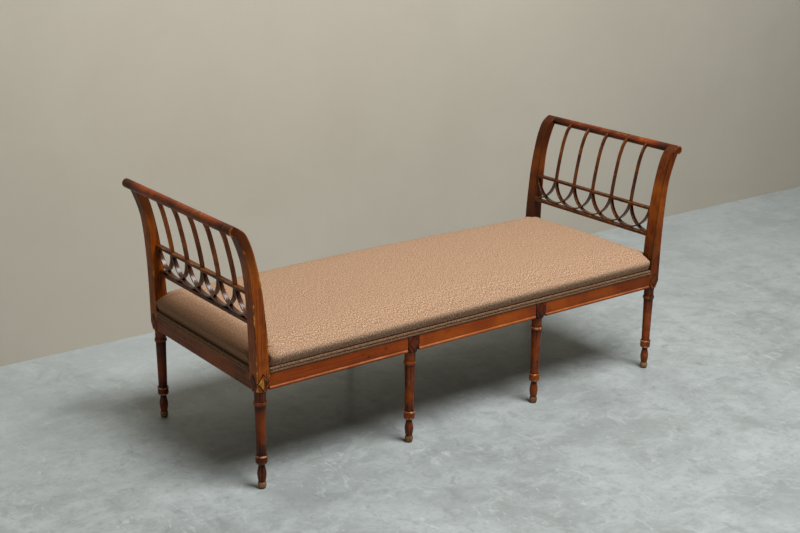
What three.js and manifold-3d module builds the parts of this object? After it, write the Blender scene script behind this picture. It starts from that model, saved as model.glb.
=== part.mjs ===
import * as THREE from 'three';
import { mergeVertices } from 'three/addons/utils/BufferGeometryUtils.js';
import Module from 'manifold-3d';

const wasm = await Module();
wasm.setup();

// All sizes are in millimetres. X runs along the seat, -Y is the front and Z is up.

// Frame, from the floor up
const half_depth = 366;
const leg_shoulder_height = 342;
const rail_lift = 3;
const rail_face_height = 55;
const rail_rebate_height = 14;
const rail_thickness = 30;
const front_rail_setback = 3;
const end_rail_setback = 2;
const rail_ledge_depth = 10;
const bead_height = 11;
const bead_projection = 2.5;
const bead_segments = 5;

// End posts
const post_inner_reach = 866;
const post_foot_width = 48;
const post_thickness = 46;
const scroll_flare = 65;
const scroll_radius = 16;
const scroll_inner_join_degrees = 130;
const scroll_outer_join_degrees = -115;
const scroll_segments = 14;
const sabre_segments = 24;
const inner_edge_shares = [
  [0, 0], [0.2, 0.03], [0.4, 0.11], [0.6, 0.225], [0.8, 0.43], [0.9, 0.59], [0.96, 0.75], [1, 1],
];
const outer_edge_shares = [
  [0, 0], [0.2, 0.02], [0.4, 0.07], [0.6, 0.17], [0.75, 0.315], [0.85, 0.515], [0.95, 0.81], [1, 1],
];

// Carved lozenges and chipped lower corners of the square leg heads
const lozenge_half_width = 20;
const lozenge_half_height = 27;
const lozenge_rise = 30;
const lozenge_projection = 2.5;
const lozenge_crown_share = 0.82;
const corner_chip = 12;
const corner_chip_height = 24;

// Legs
const front_leg_out = 293;
const rear_leg_offset = -66;
const leg_block_width = 49;
const leg_block_depth = 46;
const leg_ring_radius = 22.3;
const leg_sides = 16;
const leg_tenon_radius = 9;
const leg_tenon_length = 30;
const leg_tenon_chamfer = 1;
const leg_profile_shares = [
  [0.4, 0], [0.56, 0.018], [0.65, 0.041], [0.63, 0.062], [0.53, 0.076],
  [0.6, 0.095], [0.68, 0.13], [0.695, 0.155], [0.63, 0.19], [0.51, 0.22], [0.475, 0.239],
  [0.62, 0.25], [0.875, 0.269], [0.875, 0.33], [0.91, 0.336], [0.91, 0.346], [0.71, 0.353],
  [0.835, 0.85], [0.88, 0.856], [0.985, 0.87], [1, 0.882], [0.96, 0.896], [0.865, 0.905],
  [0.865, 0.965], [0.92, 0.985], [0.92, 1],
];

// Rail tenons and cross stretchers
const rail_tenon_length = 12;
const rail_tenon_thickness = 12;
const rail_tenon_height = 40;
const rail_tenon_rise = 7;
const stretcher_width = 40;
const stretcher_rise = 17;
const stretcher_depth = 30;
const stretcher_tenon_length = 11;
const stretcher_tenon_width = 24;
const stretcher_tenon_depth = 18;

// Open end panels, from the rail ledge up
const panel_inset = 10;
const lower_rail_rise = 154;
const lower_rail_depth = 12;
const arcade_rise = 101.5;
const middle_rail_depth = 10;
const crest_rise = 228.5;
const panel_rail_width = 20;
const panel_tenon_length = 10;
const panel_tenon_width = 14;
const panel_tenon_depth = 6;
const crest_dowel_radius = 8;
const crest_dowel_length = 15;
const crest_sides = 24;
const bay_count = 6;
const bar_width = 6;
const bar_depth = 15;
const bar_tenon_width = 4;
const bar_tenon_depth = 7;
const bar_tenon_drop = 6;
const arc_thickness = 6;
const arc_width = 16;
const arc_housing = 2.7;
const arc_segments = 20;

// Seat
const pad_overhang = 1.5;
const pad_notch_gap = 0.8;
const pad_corner_radius = 10;
const pad_least_radius = 1.5;
const pad_tuck = 8.2;
const pad_lip_rise = 1.6;
const pad_belly_rise = 7.5;
const pad_wall_rise = 16;
const pad_round_height = 30;
const pad_round_depth = 34;
const pad_crown = 22;
const pad_crown_end_power = 12;
const pad_hip_run = 380;
const pad_round_shares = [0.07, 0.25, 0.55, 1];
const pad_dome_shares = [0.3, 0.6];
const pad_front_pieces = 14;
const pad_end_pieces = 8;
const pad_corner_pieces = 3;
const webbing_thickness = 3;
const cord_radius = 5;
const cord_sides = 10;
const cord_inset = 1.4;
const cord_pitch_share = 1.92;

// Fits and cuts
const clearance = 0.3;
const overrun = 20;
const weld_distance = 0.0005;

// Derived sizes
const rail_bottom_height = leg_shoulder_height + rail_lift;
const rail_ledge_height = rail_bottom_height + rail_face_height;
const rail_top_height = rail_ledge_height + rail_rebate_height;
const lozenge_height = rail_bottom_height + lozenge_rise;
const stretcher_bottom_height = rail_bottom_height + stretcher_rise;
const lower_rail_height = rail_ledge_height + lower_rail_rise;
const middle_rail_height = lower_rail_height + arcade_rise;
const scroll_height = middle_rail_height + crest_rise;
const post_outer_reach = post_inner_reach + post_foot_width;
const post_centre_out = post_inner_reach + post_foot_width / 2;
const scroll_reach = post_outer_reach + scroll_flare;
const post_inner_face = half_depth - post_thickness;
const corner_leg_row = half_depth - post_thickness / 2;
const middle_leg_row = half_depth - leg_block_depth / 2;
const rail_face_out = half_depth - front_rail_setback;
const end_rail_face_out = post_outer_reach - end_rail_setback;
const rail_centre_out = rail_face_out - rail_thickness / 2;
const end_rail_centre_out = end_rail_face_out - rail_thickness / 2;
const tenon_height_middle = rail_bottom_height + rail_tenon_rise + rail_tenon_height / 2;
const block_back_out = half_depth - leg_block_depth;
const bay_pitch = 2 * post_inner_face / bay_count;
const middle_rail_top = middle_rail_height + middle_rail_depth / 2;
const middle_rail_underside = middle_rail_height - middle_rail_depth / 2;
const lower_rail_top = lower_rail_height + lower_rail_depth / 2;
const bar_foot_height = middle_rail_top - bar_tenon_drop;
const webbing_bottom = rail_top_height + clearance;
const webbing_top = webbing_bottom + webbing_thickness;
const pad_underside = webbing_top + clearance;
const cord_centre_height = rail_ledge_height + clearance + cord_radius;
const cord_pitch = cord_radius * cord_pitch_share;
const cord_top = cord_centre_height + cord_pitch + cord_radius;
const pad_lip_height = cord_top + pad_lip_rise;
const pad_belly_height = pad_lip_height + pad_belly_rise;
const pad_wall_height = pad_belly_height + pad_wall_rise;
const pad_front_out = rail_face_out + pad_overhang;
const pad_end_out = end_rail_face_out + pad_overhang;
const pad_notch_x = post_inner_reach - pad_notch_gap;
const pad_notch_y = post_inner_face - pad_notch_gap;
const pad_spine_half_length = pad_end_out - pad_round_depth - pad_hip_run;

const wood_frame = { color: 0x8a4722, roughness: 0.42, metalness: 0 };
const wood_rail = { color: 0x8f4318, roughness: 0.42, metalness: 0 };
const wood_leg = { color: 0x7a3b1c, roughness: 0.4, metalness: 0 };
const wood_panel = { color: 0x6e3a20, roughness: 0.42, metalness: 0 };
const wood_crest = { color: 0x8c3f1c, roughness: 0.36, metalness: 0 };
const wood_inner = { color: 0xa47a4c, roughness: 0.75, metalness: 0 };
const cloth_seat = { color: 0xb88f72, roughness: 0.95, metalness: 0 };
const cloth_cord = { color: 0xa07c62, roughness: 0.95, metalness: 0 };
const cloth_webbing = { color: 0x8a7452, roughness: 0.95, metalness: 0 };

const object = new THREE.Group();
object.name = 'recamier';

function addPart(name, solid, look) {
  const mesh = new THREE.Mesh(geometryOf(solid), new THREE.MeshStandardMaterial(look));
  mesh.name = name;
  object.add(mesh);
}

// Changing between three.js shapes and solids
function solidOf(geometry) {
  const bare = geometry.clone();
  bare.deleteAttribute('normal');
  bare.deleteAttribute('uv');
  const welded = mergeVertices(bare, weld_distance);
  const kept = [];
  const index = welded.index.array;
  for (let i = 0; i < index.length; i += 3) {
    const [a, b, c] = index.slice(i, i + 3);
    if (a !== b && b !== c && a !== c) kept.push(a, b, c);
  }
  const mesh = new wasm.Mesh({
    numProp: 3,
    vertProperties: Float32Array.from(welded.attributes.position.array),
    triVerts: Uint32Array.from(kept),
  });
  return new wasm.Manifold(mesh);
}

function geometryOf(solid) {
  const mesh = solid.getMesh();
  const geometry = new THREE.BufferGeometry();
  const positions = Float32Array.from(mesh.vertProperties);
  geometry.setAttribute('position', new THREE.BufferAttribute(positions, 3));
  geometry.setIndex(new THREE.BufferAttribute(Uint32Array.from(mesh.triVerts), 1));
  geometry.computeVertexNormals();
  return geometry;
}

function boxBetween(low, high) {
  const size = high.map((value, axis) => value - low[axis]);
  const middle = high.map((value, axis) => (value + low[axis]) / 2);
  return solidOf(new THREE.BoxGeometry(...size).translate(...middle));
}

// A box about a centre, grown on every side by a fit allowance
function boxAbout(centre, size, allowance = 0) {
  const low = centre.map((value, axis) => value - size[axis] / 2 - allowance);
  const high = centre.map((value, axis) => value + size[axis] / 2 + allowance);
  return boxBetween(low, high);
}

function uprightCylinder(x, y, bottom, top, radius) {
  const shape = new THREE.CylinderGeometry(radius, radius, top - bottom, leg_sides);
  shape.rotateX(Math.PI / 2);
  return solidOf(shape.translate(x, y, (bottom + top) / 2));
}

function crossCylinder(x, z, half_length, radius) {
  const shape = new THREE.CylinderGeometry(radius, radius, 2 * half_length, crest_sides);
  return solidOf(shape.translate(x, 0, z));
}

// A flat outline in the X-Z plane, thickened along Y about a given centre
function plateAcross(points, centre_y, thickness) {
  const plate = new THREE.ExtrudeGeometry(new THREE.Shape(points), {
    depth: thickness,
    bevelEnabled: false,
    steps: 1,
  });
  plate.rotateX(Math.PI / 2);
  return solidOf(plate.translate(0, centre_y + thickness / 2, 0));
}

// A flat outline in the Y-Z plane, run along X between two ends
function barAlong(points, start_x, end_x) {
  const bar = new THREE.ExtrudeGeometry(new THREE.Shape(points), {
    depth: end_x - start_x,
    bevelEnabled: false,
    steps: 1,
  });
  bar.rotateX(Math.PI / 2);
  bar.rotateZ(Math.PI / 2);
  return solidOf(bar.translate(start_x, 0, 0));
}

// Sabre curve shared by the posts, bars and arcades
function scrollPoint(degrees) {
  const angle = THREE.MathUtils.degToRad(degrees);
  const reach = scroll_reach + scroll_radius * Math.cos(angle);
  const height = scroll_height + scroll_radius * Math.sin(angle);
  return new THREE.Vector2(reach, height);
}

function sabreEdge(foot_reach, join, shares) {
  const rise = join.y - rail_ledge_height;
  const sweep = join.x - foot_reach;
  const stations = shares.map(([up, out]) => {
    return new THREE.Vector2(foot_reach + sweep * out, rail_ledge_height + rise * up);
  });
  return new THREE.SplineCurve(stations);
}

const inner_edge = sabreEdge(
  post_inner_reach, scrollPoint(scroll_inner_join_degrees), inner_edge_shares,
);
const outer_edge = sabreEdge(
  post_outer_reach, scrollPoint(scroll_outer_join_degrees), outer_edge_shares,
);
const inner_points = inner_edge.getPoints(sabre_segments);
const outer_points = outer_edge.getPoints(sabre_segments);

function panelReachAt(height) {
  const above = inner_points.findIndex((point) => point.y >= height);
  const high = inner_points[Math.max(above, 1)];
  const low = inner_points[Math.max(above, 1) - 1];
  const share = (height - low.y) / (high.y - low.y);
  return low.x + (high.x - low.x) * share + panel_inset;
}

// A strip that follows the inner edge of the posts, between two offsets from it
function sabreBand(near, far, extra) {
  const first = inner_points.findIndex((point) => point.y > bar_foot_height - clearance) - 1;
  const used = inner_points.slice(first);
  const tangents = used.map((point, i) => {
    const before = used[Math.max(i - 1, 0)];
    const after = used[Math.min(i + 1, used.length - 1)];
    return after.clone().sub(before).normalize();
  });
  const last = used.length - 1;
  used.push(used[last].clone().addScaledVector(tangents[last], extra));
  tangents.push(tangents[last]);
  const offset = (distance) => used.map((point, i) => {
    return new THREE.Vector2(point.x + tangents[i].y * distance, point.y - tangents[i].x * distance);
  });
  return [...offset(near), ...offset(far).reverse()];
}

function placed(points, side) {
  return points.map((point) => new THREE.Vector2(side * point.x, point.y));
}

// Square leg heads: lozenges and chipped corners
function lozengeAlongY(x, face, facing) {
  const crown = lozenge_half_width * lozenge_crown_share;
  const height = lozenge_projection + overrun;
  const root = lozenge_half_width * (1 + (1 - lozenge_crown_share) * overrun / lozenge_projection);
  const shape = new THREE.CylinderGeometry(crown, root, height, 4);
  shape.scale(1, 1, lozenge_half_height / lozenge_half_width);
  if (facing < 0) shape.rotateX(Math.PI);
  const middle = face + facing * (lozenge_projection - overrun) / 2;
  const whole = solidOf(shape.translate(x, middle, lozenge_height));
  const reach = lozenge_half_width + overrun;
  const edge = face - facing * clearance;
  const outside = edge + facing * (lozenge_projection + overrun);
  return whole.intersect(boxBetween(
    [x - reach, Math.min(edge, outside), rail_bottom_height - overrun],
    [x + reach, Math.max(edge, outside), rail_top_height + overrun],
  ));
}

function lozengeAlongX(face, y, facing) {
  const flat = lozengeAlongY(0, face * facing, 1);
  const turned = flat.rotate([0, 0, -90]);
  const faced = facing > 0 ? turned : turned.rotate([0, 0, 180]);
  return faced.translate([0, y, 0]);
}

function chippedCorners(x, y, width, depth) {
  const waist = (width + depth) / 2 - corner_chip;
  const brow = (width + depth) / 2;
  const cone = new THREE.CylinderGeometry(brow, waist, corner_chip_height, 4);
  cone.rotateX(Math.PI / 2);
  const middle = leg_shoulder_height + corner_chip_height / 2;
  const kept = solidOf(cone.translate(x, y, middle));
  const slab = boxAbout([x, y, middle], [width + overrun, depth + overrun, corner_chip_height]);
  return slab.subtract(kept);
}

function legSocket(x, y) {
  return uprightCylinder(
    x, y, leg_shoulder_height - overrun,
    leg_shoulder_height + leg_tenon_length + clearance, leg_tenon_radius + clearance,
  );
}

// Rail tenons: a shoulder, the run direction and a fit allowance
function tenonAlongX(shoulder_x, centre_y, direction, allowance) {
  const centre = [shoulder_x + direction * rail_tenon_length / 2, centre_y, tenon_height_middle];
  return boxAbout(centre, [rail_tenon_length, rail_tenon_thickness, rail_tenon_height], allowance);
}

function tenonAlongY(centre_x, shoulder_y, direction, allowance) {
  const centre = [centre_x, shoulder_y + direction * rail_tenon_length / 2, tenon_height_middle];
  return boxAbout(centre, [rail_tenon_thickness, rail_tenon_length, rail_tenon_height], allowance);
}

function panelTenon(side, row, height, allowance) {
  const centre = [side * panelReachAt(height), row * (post_inner_face + panel_tenon_length / 2), height];
  return boxAbout(centre, [panel_tenon_width, panel_tenon_length, panel_tenon_depth], allowance);
}

// Curved end posts
function postOutline(side) {
  const points = [new THREE.Vector2(post_inner_reach, leg_shoulder_height), ...inner_points];
  const turn = scroll_outer_join_degrees - scroll_inner_join_degrees;
  for (let i = 1; i < scroll_segments; i += 1) {
    points.push(scrollPoint(scroll_inner_join_degrees + turn * i / scroll_segments));
  }
  points.push(...[...outer_points].reverse());
  points.push(new THREE.Vector2(post_outer_reach, leg_shoulder_height));
  return placed(points, side);
}

function endPost(side, row) {
  const centre_y = row * corner_leg_row;
  const centre_x = side * post_centre_out;
  const cuts = [
    legSocket(centre_x, centre_y),
    tenonAlongX(side * post_inner_reach, row * rail_centre_out, side, clearance),
    tenonAlongY(side * end_rail_centre_out, row * post_inner_face, row, clearance),
    panelTenon(side, row, middle_rail_height, clearance),
    panelTenon(side, row, lower_rail_height, clearance),
    crossCylinder(
      side * scroll_reach, scroll_height,
      post_inner_face + crest_dowel_length + clearance, crest_dowel_radius + clearance,
    ),
    chippedCorners(centre_x, centre_y, post_foot_width, post_thickness),
  ];
  let solid = plateAcross(postOutline(side), centre_y, post_thickness);
  solid = solid.add(lozengeAlongY(centre_x, row * half_depth, row));
  solid = solid.add(lozengeAlongX(side * post_outer_reach, centre_y, side));
  return cuts.reduce((body, cut) => body.subtract(cut), solid);
}

// Turned legs
function turnedLeg(x, y) {
  const shoulder = leg_shoulder_height - clearance;
  const profile = [new THREE.Vector2(0, 0)];
  leg_profile_shares.forEach(([out, up]) => {
    profile.push(new THREE.Vector2(leg_ring_radius * out, shoulder * up));
  });
  const tip = leg_shoulder_height + leg_tenon_length;
  profile.push(new THREE.Vector2(leg_tenon_radius, shoulder));
  profile.push(new THREE.Vector2(leg_tenon_radius, tip - leg_tenon_chamfer));
  profile.push(new THREE.Vector2(leg_tenon_radius - leg_tenon_chamfer, tip));
  profile.push(new THREE.Vector2(0, tip));
  const lathe = new THREE.LatheGeometry(profile, leg_sides);
  lathe.rotateX(Math.PI / 2);
  return solidOf(lathe.translate(x, y, 0));
}

// Seat rails
function railProfile(face_out, row, bead) {
  const ledge = face_out - rail_ledge_depth;
  const back = face_out - rail_thickness;
  const points = [];
  for (let i = 0; bead > 0 && i <= bead_segments; i += 1) {
    const angle = Math.PI * i / bead_segments;
    const out = face_out + bead * Math.sin(angle);
    const middle = rail_bottom_height + bead_height / 2;
    points.push(new THREE.Vector2(row * out, middle - bead_height / 2 * Math.cos(angle)));
  }
  if (bead === 0) points.push(new THREE.Vector2(row * face_out, rail_bottom_height));
  points.push(new THREE.Vector2(row * face_out, rail_ledge_height));
  points.push(new THREE.Vector2(row * ledge, rail_ledge_height));
  points.push(new THREE.Vector2(row * ledge, rail_top_height));
  points.push(new THREE.Vector2(row * back, rail_top_height));
  points.push(new THREE.Vector2(row * back, rail_bottom_height));
  return points;
}

function longRail(start_x, end_x, row) {
  const shape = railProfile(rail_face_out, row, bead_projection);
  const rail = barAlong(shape, start_x + clearance, end_x - clearance);
  const middle = [(start_x + end_x) / 2, row * rail_centre_out, tenon_height_middle];
  const length = end_x - start_x + 2 * rail_tenon_length;
  return rail.add(boxAbout(middle, [length, rail_tenon_thickness, rail_tenon_height]));
}

function endRail(side) {
  const half = post_inner_face - clearance;
  const along = barAlong(railProfile(end_rail_face_out, -1, 0), -half, half);
  const rail = along.rotate([0, 0, side > 0 ? 90 : -90]);
  const middle = [side * end_rail_centre_out, 0, tenon_height_middle];
  const length = 2 * (post_inner_face + rail_tenon_length);
  return rail.add(boxAbout(middle, [rail_tenon_thickness, length, rail_tenon_height]));
}

function stretcherSocket(x, shoulder_y, direction) {
  const centre_y = shoulder_y + direction * stretcher_tenon_length / 2;
  const height = stretcher_bottom_height + stretcher_depth / 2;
  const size = [stretcher_tenon_width, stretcher_tenon_length, stretcher_tenon_depth];
  return boxAbout([x, centre_y, height], size, clearance);
}

function legBlock(x, row) {
  const centre_y = row * middle_leg_row;
  const half = leg_block_width / 2;
  const ledge_out = rail_face_out - rail_ledge_depth;
  const lower = boxBetween(
    [x - half, Math.min(row * half_depth, row * block_back_out), leg_shoulder_height],
    [x + half, Math.max(row * half_depth, row * block_back_out), rail_ledge_height],
  );
  const upper = boxBetween(
    [x - half, Math.min(row * ledge_out, row * block_back_out), lozenge_height],
    [x + half, Math.max(row * ledge_out, row * block_back_out), rail_top_height],
  );
  const solid = lower.add(upper).add(lozengeAlongY(x, row * half_depth, row));
  const cuts = [
    legSocket(x, centre_y),
    tenonAlongX(x - half, row * rail_centre_out, 1, clearance),
    tenonAlongX(x + half, row * rail_centre_out, -1, clearance),
    chippedCorners(x, centre_y, leg_block_width, leg_block_depth),
  ];
  return cuts.reduce((body, cut) => body.subtract(cut), solid);
}

function stretcher(x) {
  const front = -block_back_out + clearance;
  const back = rail_face_out - rail_thickness - clearance;
  const top = stretcher_bottom_height + stretcher_depth;
  const half = stretcher_width / 2;
  const beam = boxBetween([x - half, front, stretcher_bottom_height], [x + half, back, top]);
  const low = -block_back_out - stretcher_tenon_length;
  const high = rail_face_out - rail_thickness + stretcher_tenon_length;
  const height = stretcher_bottom_height + stretcher_depth / 2;
  const centre = [x, (low + high) / 2, height];
  return beam.add(boxAbout(centre, [stretcher_tenon_width, high - low, stretcher_tenon_depth]));
}

// End panels
function barBody(side, y) {
  const near = panel_inset - bar_depth / 2;
  const far = panel_inset + bar_depth / 2;
  const band = placed(sabreBand(near, far, 0), side);
  const roll = crossCylinder(
    side * scroll_reach, scroll_height, half_depth, scroll_radius + clearance,
  );
  const foot_height = middle_rail_top + clearance;
  const below = boxBetween(
    [-scroll_reach, -half_depth, 0], [scroll_reach, half_depth, foot_height],
  );
  return plateAcross(band, y, bar_width).subtract(roll).subtract(below);
}

function barCore(side, y, allowance) {
  const near = panel_inset - bar_tenon_depth / 2 - allowance;
  const far = panel_inset + bar_tenon_depth / 2 + allowance;
  const band = placed(sabreBand(near, far, allowance), side);
  const below = boxBetween(
    [-scroll_reach, -half_depth, 0], [scroll_reach, half_depth, bar_foot_height - allowance],
  );
  return plateAcross(band, y, bar_tenon_width + 2 * allowance).subtract(below);
}

function barPlaces() {
  const places = [];
  for (let i = 1; i < bay_count; i += 1) places.push(-post_inner_face + i * bay_pitch);
  return places;
}

function crestRail(side) {
  const x = side * scroll_reach;
  const roll = crossCylinder(x, scroll_height, post_inner_face - clearance, scroll_radius);
  const dowel_reach = post_inner_face + crest_dowel_length;
  const dowels = crossCylinder(x, scroll_height, dowel_reach, crest_dowel_radius);
  return barPlaces().reduce((body, y) => body.subtract(barCore(side, y, clearance)), roll.add(dowels));
}

function panelRail(side, height, depth) {
  const x = side * panelReachAt(height);
  const shoulders = [panel_rail_width, 2 * (post_inner_face - clearance), depth];
  const through = [panel_tenon_width, 2 * (post_inner_face + panel_tenon_length), panel_tenon_depth];
  return boxAbout([x, 0, height], shoulders).add(boxAbout([x, 0, height], through));
}

function middleRail(side) {
  let rail = panelRail(side, middle_rail_height, middle_rail_depth);
  barPlaces().forEach((y) => { rail = rail.subtract(barCore(side, y, clearance)); });
  const x = side * panelReachAt(middle_rail_underside + arc_housing / 2);
  const mouth_rise = arc_centre_height - middle_rail_underside;
  const mouth_span = Math.sqrt((arc_radius - arc_thickness / 2) ** 2 - mouth_rise ** 2);
  const housing_width = arc_width + 2 * clearance;
  const housing_length = 2 * (bay_pitch - mouth_span + clearance);
  for (let i = 0; i <= bay_count; i += 1) {
    const y = -post_inner_face + i * bay_pitch;
    const size = [housing_width, housing_length, 2 * (arc_housing + clearance)];
    rail = rail.subtract(boxAbout([x, y, middle_rail_underside], size));
  }
  return rail;
}

// Arcade strips: circles that start in the middle rail and rest on the lower rail
const arc_end_offset = arc_thickness / 2 + clearance;
const arc_half_span = bay_pitch - arc_end_offset;
const arc_bottom = lower_rail_top + clearance + arc_thickness / 2;
const arc_top = middle_rail_underside + arc_housing;
const arc_rise = arc_top - arc_bottom;
const arc_radius = (arc_half_span ** 2 + arc_rise ** 2) / (2 * arc_rise);
const arc_centre_height = arc_bottom + arc_radius;

function arcEdge(radius, from_side, to_side) {
  const end = Math.acos((arc_centre_height - arc_top) / radius);
  const start = Math.asin(clearance / radius);
  const low = from_side < 0 ? -end : start;
  const high = to_side > 0 ? end : -start;
  const steps = from_side < 0 && to_side > 0 ? arc_segments : arc_segments / 2;
  const points = [];
  for (let i = 0; i <= steps; i += 1) {
    const angle = low + (high - low) * i / steps;
    const out = radius * Math.sin(angle);
    points.push(new THREE.Vector2(out, arc_centre_height - radius * Math.cos(angle)));
  }
  return points;
}

// The strip is bent so that it keeps to the curved panel
function arcStrip(side, junction, near, far, allowance) {
  const y = -post_inner_face + junction * bay_pitch;
  const from_side = junction > 0 ? -1 : 0;
  const to_side = junction < bay_count ? 1 : 0;
  const half = arc_thickness / 2 + allowance;
  const outline = [
    ...arcEdge(arc_radius + half, from_side, to_side),
    ...arcEdge(arc_radius - half, from_side, to_side).reverse(),
  ];
  const strip = new THREE.ExtrudeGeometry(new THREE.Shape(outline), {
    depth: 1,
    bevelEnabled: false,
    steps: 1,
  });
  const position = strip.attributes.position;
  for (let i = 0; i < position.count; i += 1) {
    const height = position.getY(i);
    const reach = panelReachAt(height) + near + (far - near) * position.getZ(i);
    position.setXYZ(i, reach, y + position.getX(i), height);
  }
  const bent = solidOf(strip);
  return side > 0 ? bent : bent.mirror([1, 0, 0]);
}

function arcadeStrip(side, junction) {
  const half = arc_width / 2;
  let strip = arcStrip(side, junction, -half, half, 0);
  if (junction < bay_count) {
    const neighbour = arcStrip(side, junction + 1, -clearance / 2, half + overrun, clearance);
    strip = strip.subtract(neighbour);
  }
  if (junction > 0) {
    const neighbour = arcStrip(side, junction - 1, -half - overrun, clearance / 2, clearance);
    strip = strip.subtract(neighbour);
  }
  return strip;
}

// Seat pad outline, walked once round from the middle of one long edge
function roundedCorner(x, y, radius) {
  const points = [];
  for (let i = 0; i <= pad_corner_pieces; i += 1) {
    const angle = Math.PI / 2 * (1 - i / pad_corner_pieces);
    const out_x = radius * (Math.cos(angle) - 1);
    const out_y = radius * (Math.sin(angle) - 1);
    points.push(new THREE.Vector2(x + out_x, y + out_y));
  }
  return points;
}

function padQuarter(inset) {
  const radius = Math.max(pad_corner_radius - inset, pad_least_radius);
  const front = pad_front_out - inset;
  const end = pad_end_out - inset;
  const notch_x = pad_notch_x - inset;
  const notch_y = pad_notch_y - inset;
  const points = [];
  for (let i = 0; i < pad_front_pieces / 2; i += 1) {
    points.push(new THREE.Vector2(2 * (notch_x - radius) * i / pad_front_pieces, front));
  }
  points.push(...roundedCorner(notch_x, front, radius));
  points.push(new THREE.Vector2(notch_x, notch_y));
  points.push(...roundedCorner(end, notch_y, radius));
  for (let i = pad_end_pieces / 2 - 1; i >= 0; i -= 1) {
    points.push(new THREE.Vector2(end, 2 * (notch_y - radius) * i / pad_end_pieces));
  }
  return points;
}

function padOutline(inset) {
  const quarter = padQuarter(inset);
  const last = quarter.length - 1;
  const front_right = quarter.slice(0, last).reverse();
  const front_left = quarter.slice(1);
  const rear_left = quarter.slice(1, last).reverse();
  return [
    ...quarter,
    ...front_right.map((point) => new THREE.Vector2(point.x, -point.y)),
    ...front_left.map((point) => new THREE.Vector2(-point.x, -point.y)),
    ...rear_left.map((point) => new THREE.Vector2(-point.x, point.y)),
  ];
}

function distanceToOutline(point, outline) {
  let nearest = Infinity;
  outline.forEach((start, i) => {
    const end = outline[(i + 1) % outline.length];
    const along = end.clone().sub(start);
    const share = point.clone().sub(start).dot(along) / along.lengthSq();
    const foot = start.clone().addScaledVector(along, THREE.MathUtils.clamp(share, 0, 1));
    nearest = Math.min(nearest, point.distanceTo(foot));
  });
  return nearest;
}

function padSurface(point, outline) {
  const inward = Math.min(distanceToOutline(point, outline) / pad_round_depth, 1);
  const round = pad_round_height * Math.sqrt(1 - (1 - inward) ** 2);
  const across = 1 - (point.y / pad_front_out) ** 2;
  const along = 1 - (Math.abs(point.x) / pad_end_out) ** pad_crown_end_power;
  return pad_wall_height + round + pad_crown * across * along;
}

function padLoops() {
  const outline = padOutline(0);
  const level = (points, height) => points.map((point) => {
    return new THREE.Vector3(point.x, point.y, height);
  });
  const loops = [
    level(padOutline(pad_tuck), rail_ledge_height + clearance),
    level(padOutline(pad_tuck), cord_top + clearance),
    level(outline, pad_lip_height),
    level(padOutline(-pad_overhang / 2), pad_belly_height),
    level(outline, pad_wall_height),
  ];
  const draped = (points) => points.map((point) => {
    return new THREE.Vector3(point.x, point.y, padSurface(point, outline));
  });
  pad_round_shares.forEach((share) => loops.push(draped(padOutline(pad_round_depth * share))));
  const edge = padOutline(pad_round_depth);
  const spine = edge.map((point) => {
    const along = THREE.MathUtils.clamp(point.x, -pad_spine_half_length, pad_spine_half_length);
    return new THREE.Vector2(along, 0);
  });
  pad_dome_shares.forEach((share) => {
    loops.push(draped(edge.map((point, i) => point.clone().lerp(spine[i], share))));
  });
  return loops;
}

function loftSolid(loops) {
  const positions = [];
  const index = [];
  const count = loops[0].length;
  loops.forEach((loop) => loop.forEach((point) => positions.push(point.x, point.y, point.z)));
  for (let ring = 0; ring < loops.length - 1; ring += 1) {
    for (let i = 0; i < count; i += 1) {
      const next = (i + 1) % count;
      const low = ring * count;
      const high = low + count;
      index.push(low + i, high + next, low + next, low + i, high + i, high + next);
    }
  }
  const flat = (loop) => loop.map((point) => new THREE.Vector2(point.x, point.y));
  const top = (loops.length - 1) * count;
  THREE.ShapeUtils.triangulateShape(flat(loops[loops.length - 1]), []).forEach(([a, b, c]) => {
    index.push(top + a, top + b, top + c);
  });
  THREE.ShapeUtils.triangulateShape(flat(loops[0]), []).forEach(([a, b, c]) => {
    index.push(a, c, b);
  });
  const geometry = new THREE.BufferGeometry();
  geometry.setAttribute('position', new THREE.Float32BufferAttribute(positions, 3));
  geometry.setIndex(index);
  return solidOf(geometry);
}

function seatPad() {
  const ledge_y = rail_face_out - rail_ledge_depth + clearance;
  const ledge_x = end_rail_face_out - rail_ledge_depth + clearance;
  const bottom = rail_ledge_height - overrun;
  const lengthwise = boxBetween(
    [-pad_notch_x - overrun, -ledge_y, bottom], [pad_notch_x + overrun, ledge_y, pad_underside],
  );
  const crosswise = boxBetween(
    [-ledge_x, -post_inner_face, bottom], [ledge_x, post_inner_face, pad_underside],
  );
  return loftSolid(padLoops()).subtract(lengthwise).subtract(crosswise);
}

function seatWebbing() {
  const reach_y = rail_face_out - rail_ledge_depth - clearance;
  const reach_x = end_rail_face_out - rail_ledge_depth - clearance;
  const lengthwise = boxBetween(
    [-pad_notch_x, -reach_y, webbing_bottom], [pad_notch_x, reach_y, webbing_top],
  );
  const crosswise = boxBetween(
    [-reach_x, -pad_notch_y, webbing_bottom], [reach_x, pad_notch_y, webbing_top],
  );
  return lengthwise.add(crosswise);
}

// Double cord edging, one strip between each pair of posts
function cordProfile(out) {
  const points = [];
  const lower = cord_centre_height;
  const upper = cord_centre_height + cord_pitch;
  const pinch = Math.acos(cord_pitch / 2 / cord_radius);
  const sweep = 2 * (Math.PI - pinch);
  for (let i = 0; i < cord_sides; i += 1) {
    const angle = Math.PI / 2 + pinch + sweep * i / cord_sides;
    const reach = out + cord_radius * Math.cos(angle);
    points.push(new THREE.Vector2(reach, lower + cord_radius * Math.sin(angle)));
  }
  for (let i = 0; i < cord_sides; i += 1) {
    const angle = -Math.PI / 2 + pinch + sweep * i / cord_sides;
    const reach = out + cord_radius * Math.cos(angle);
    points.push(new THREE.Vector2(reach, upper + cord_radius * Math.sin(angle)));
  }
  return points;
}

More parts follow.
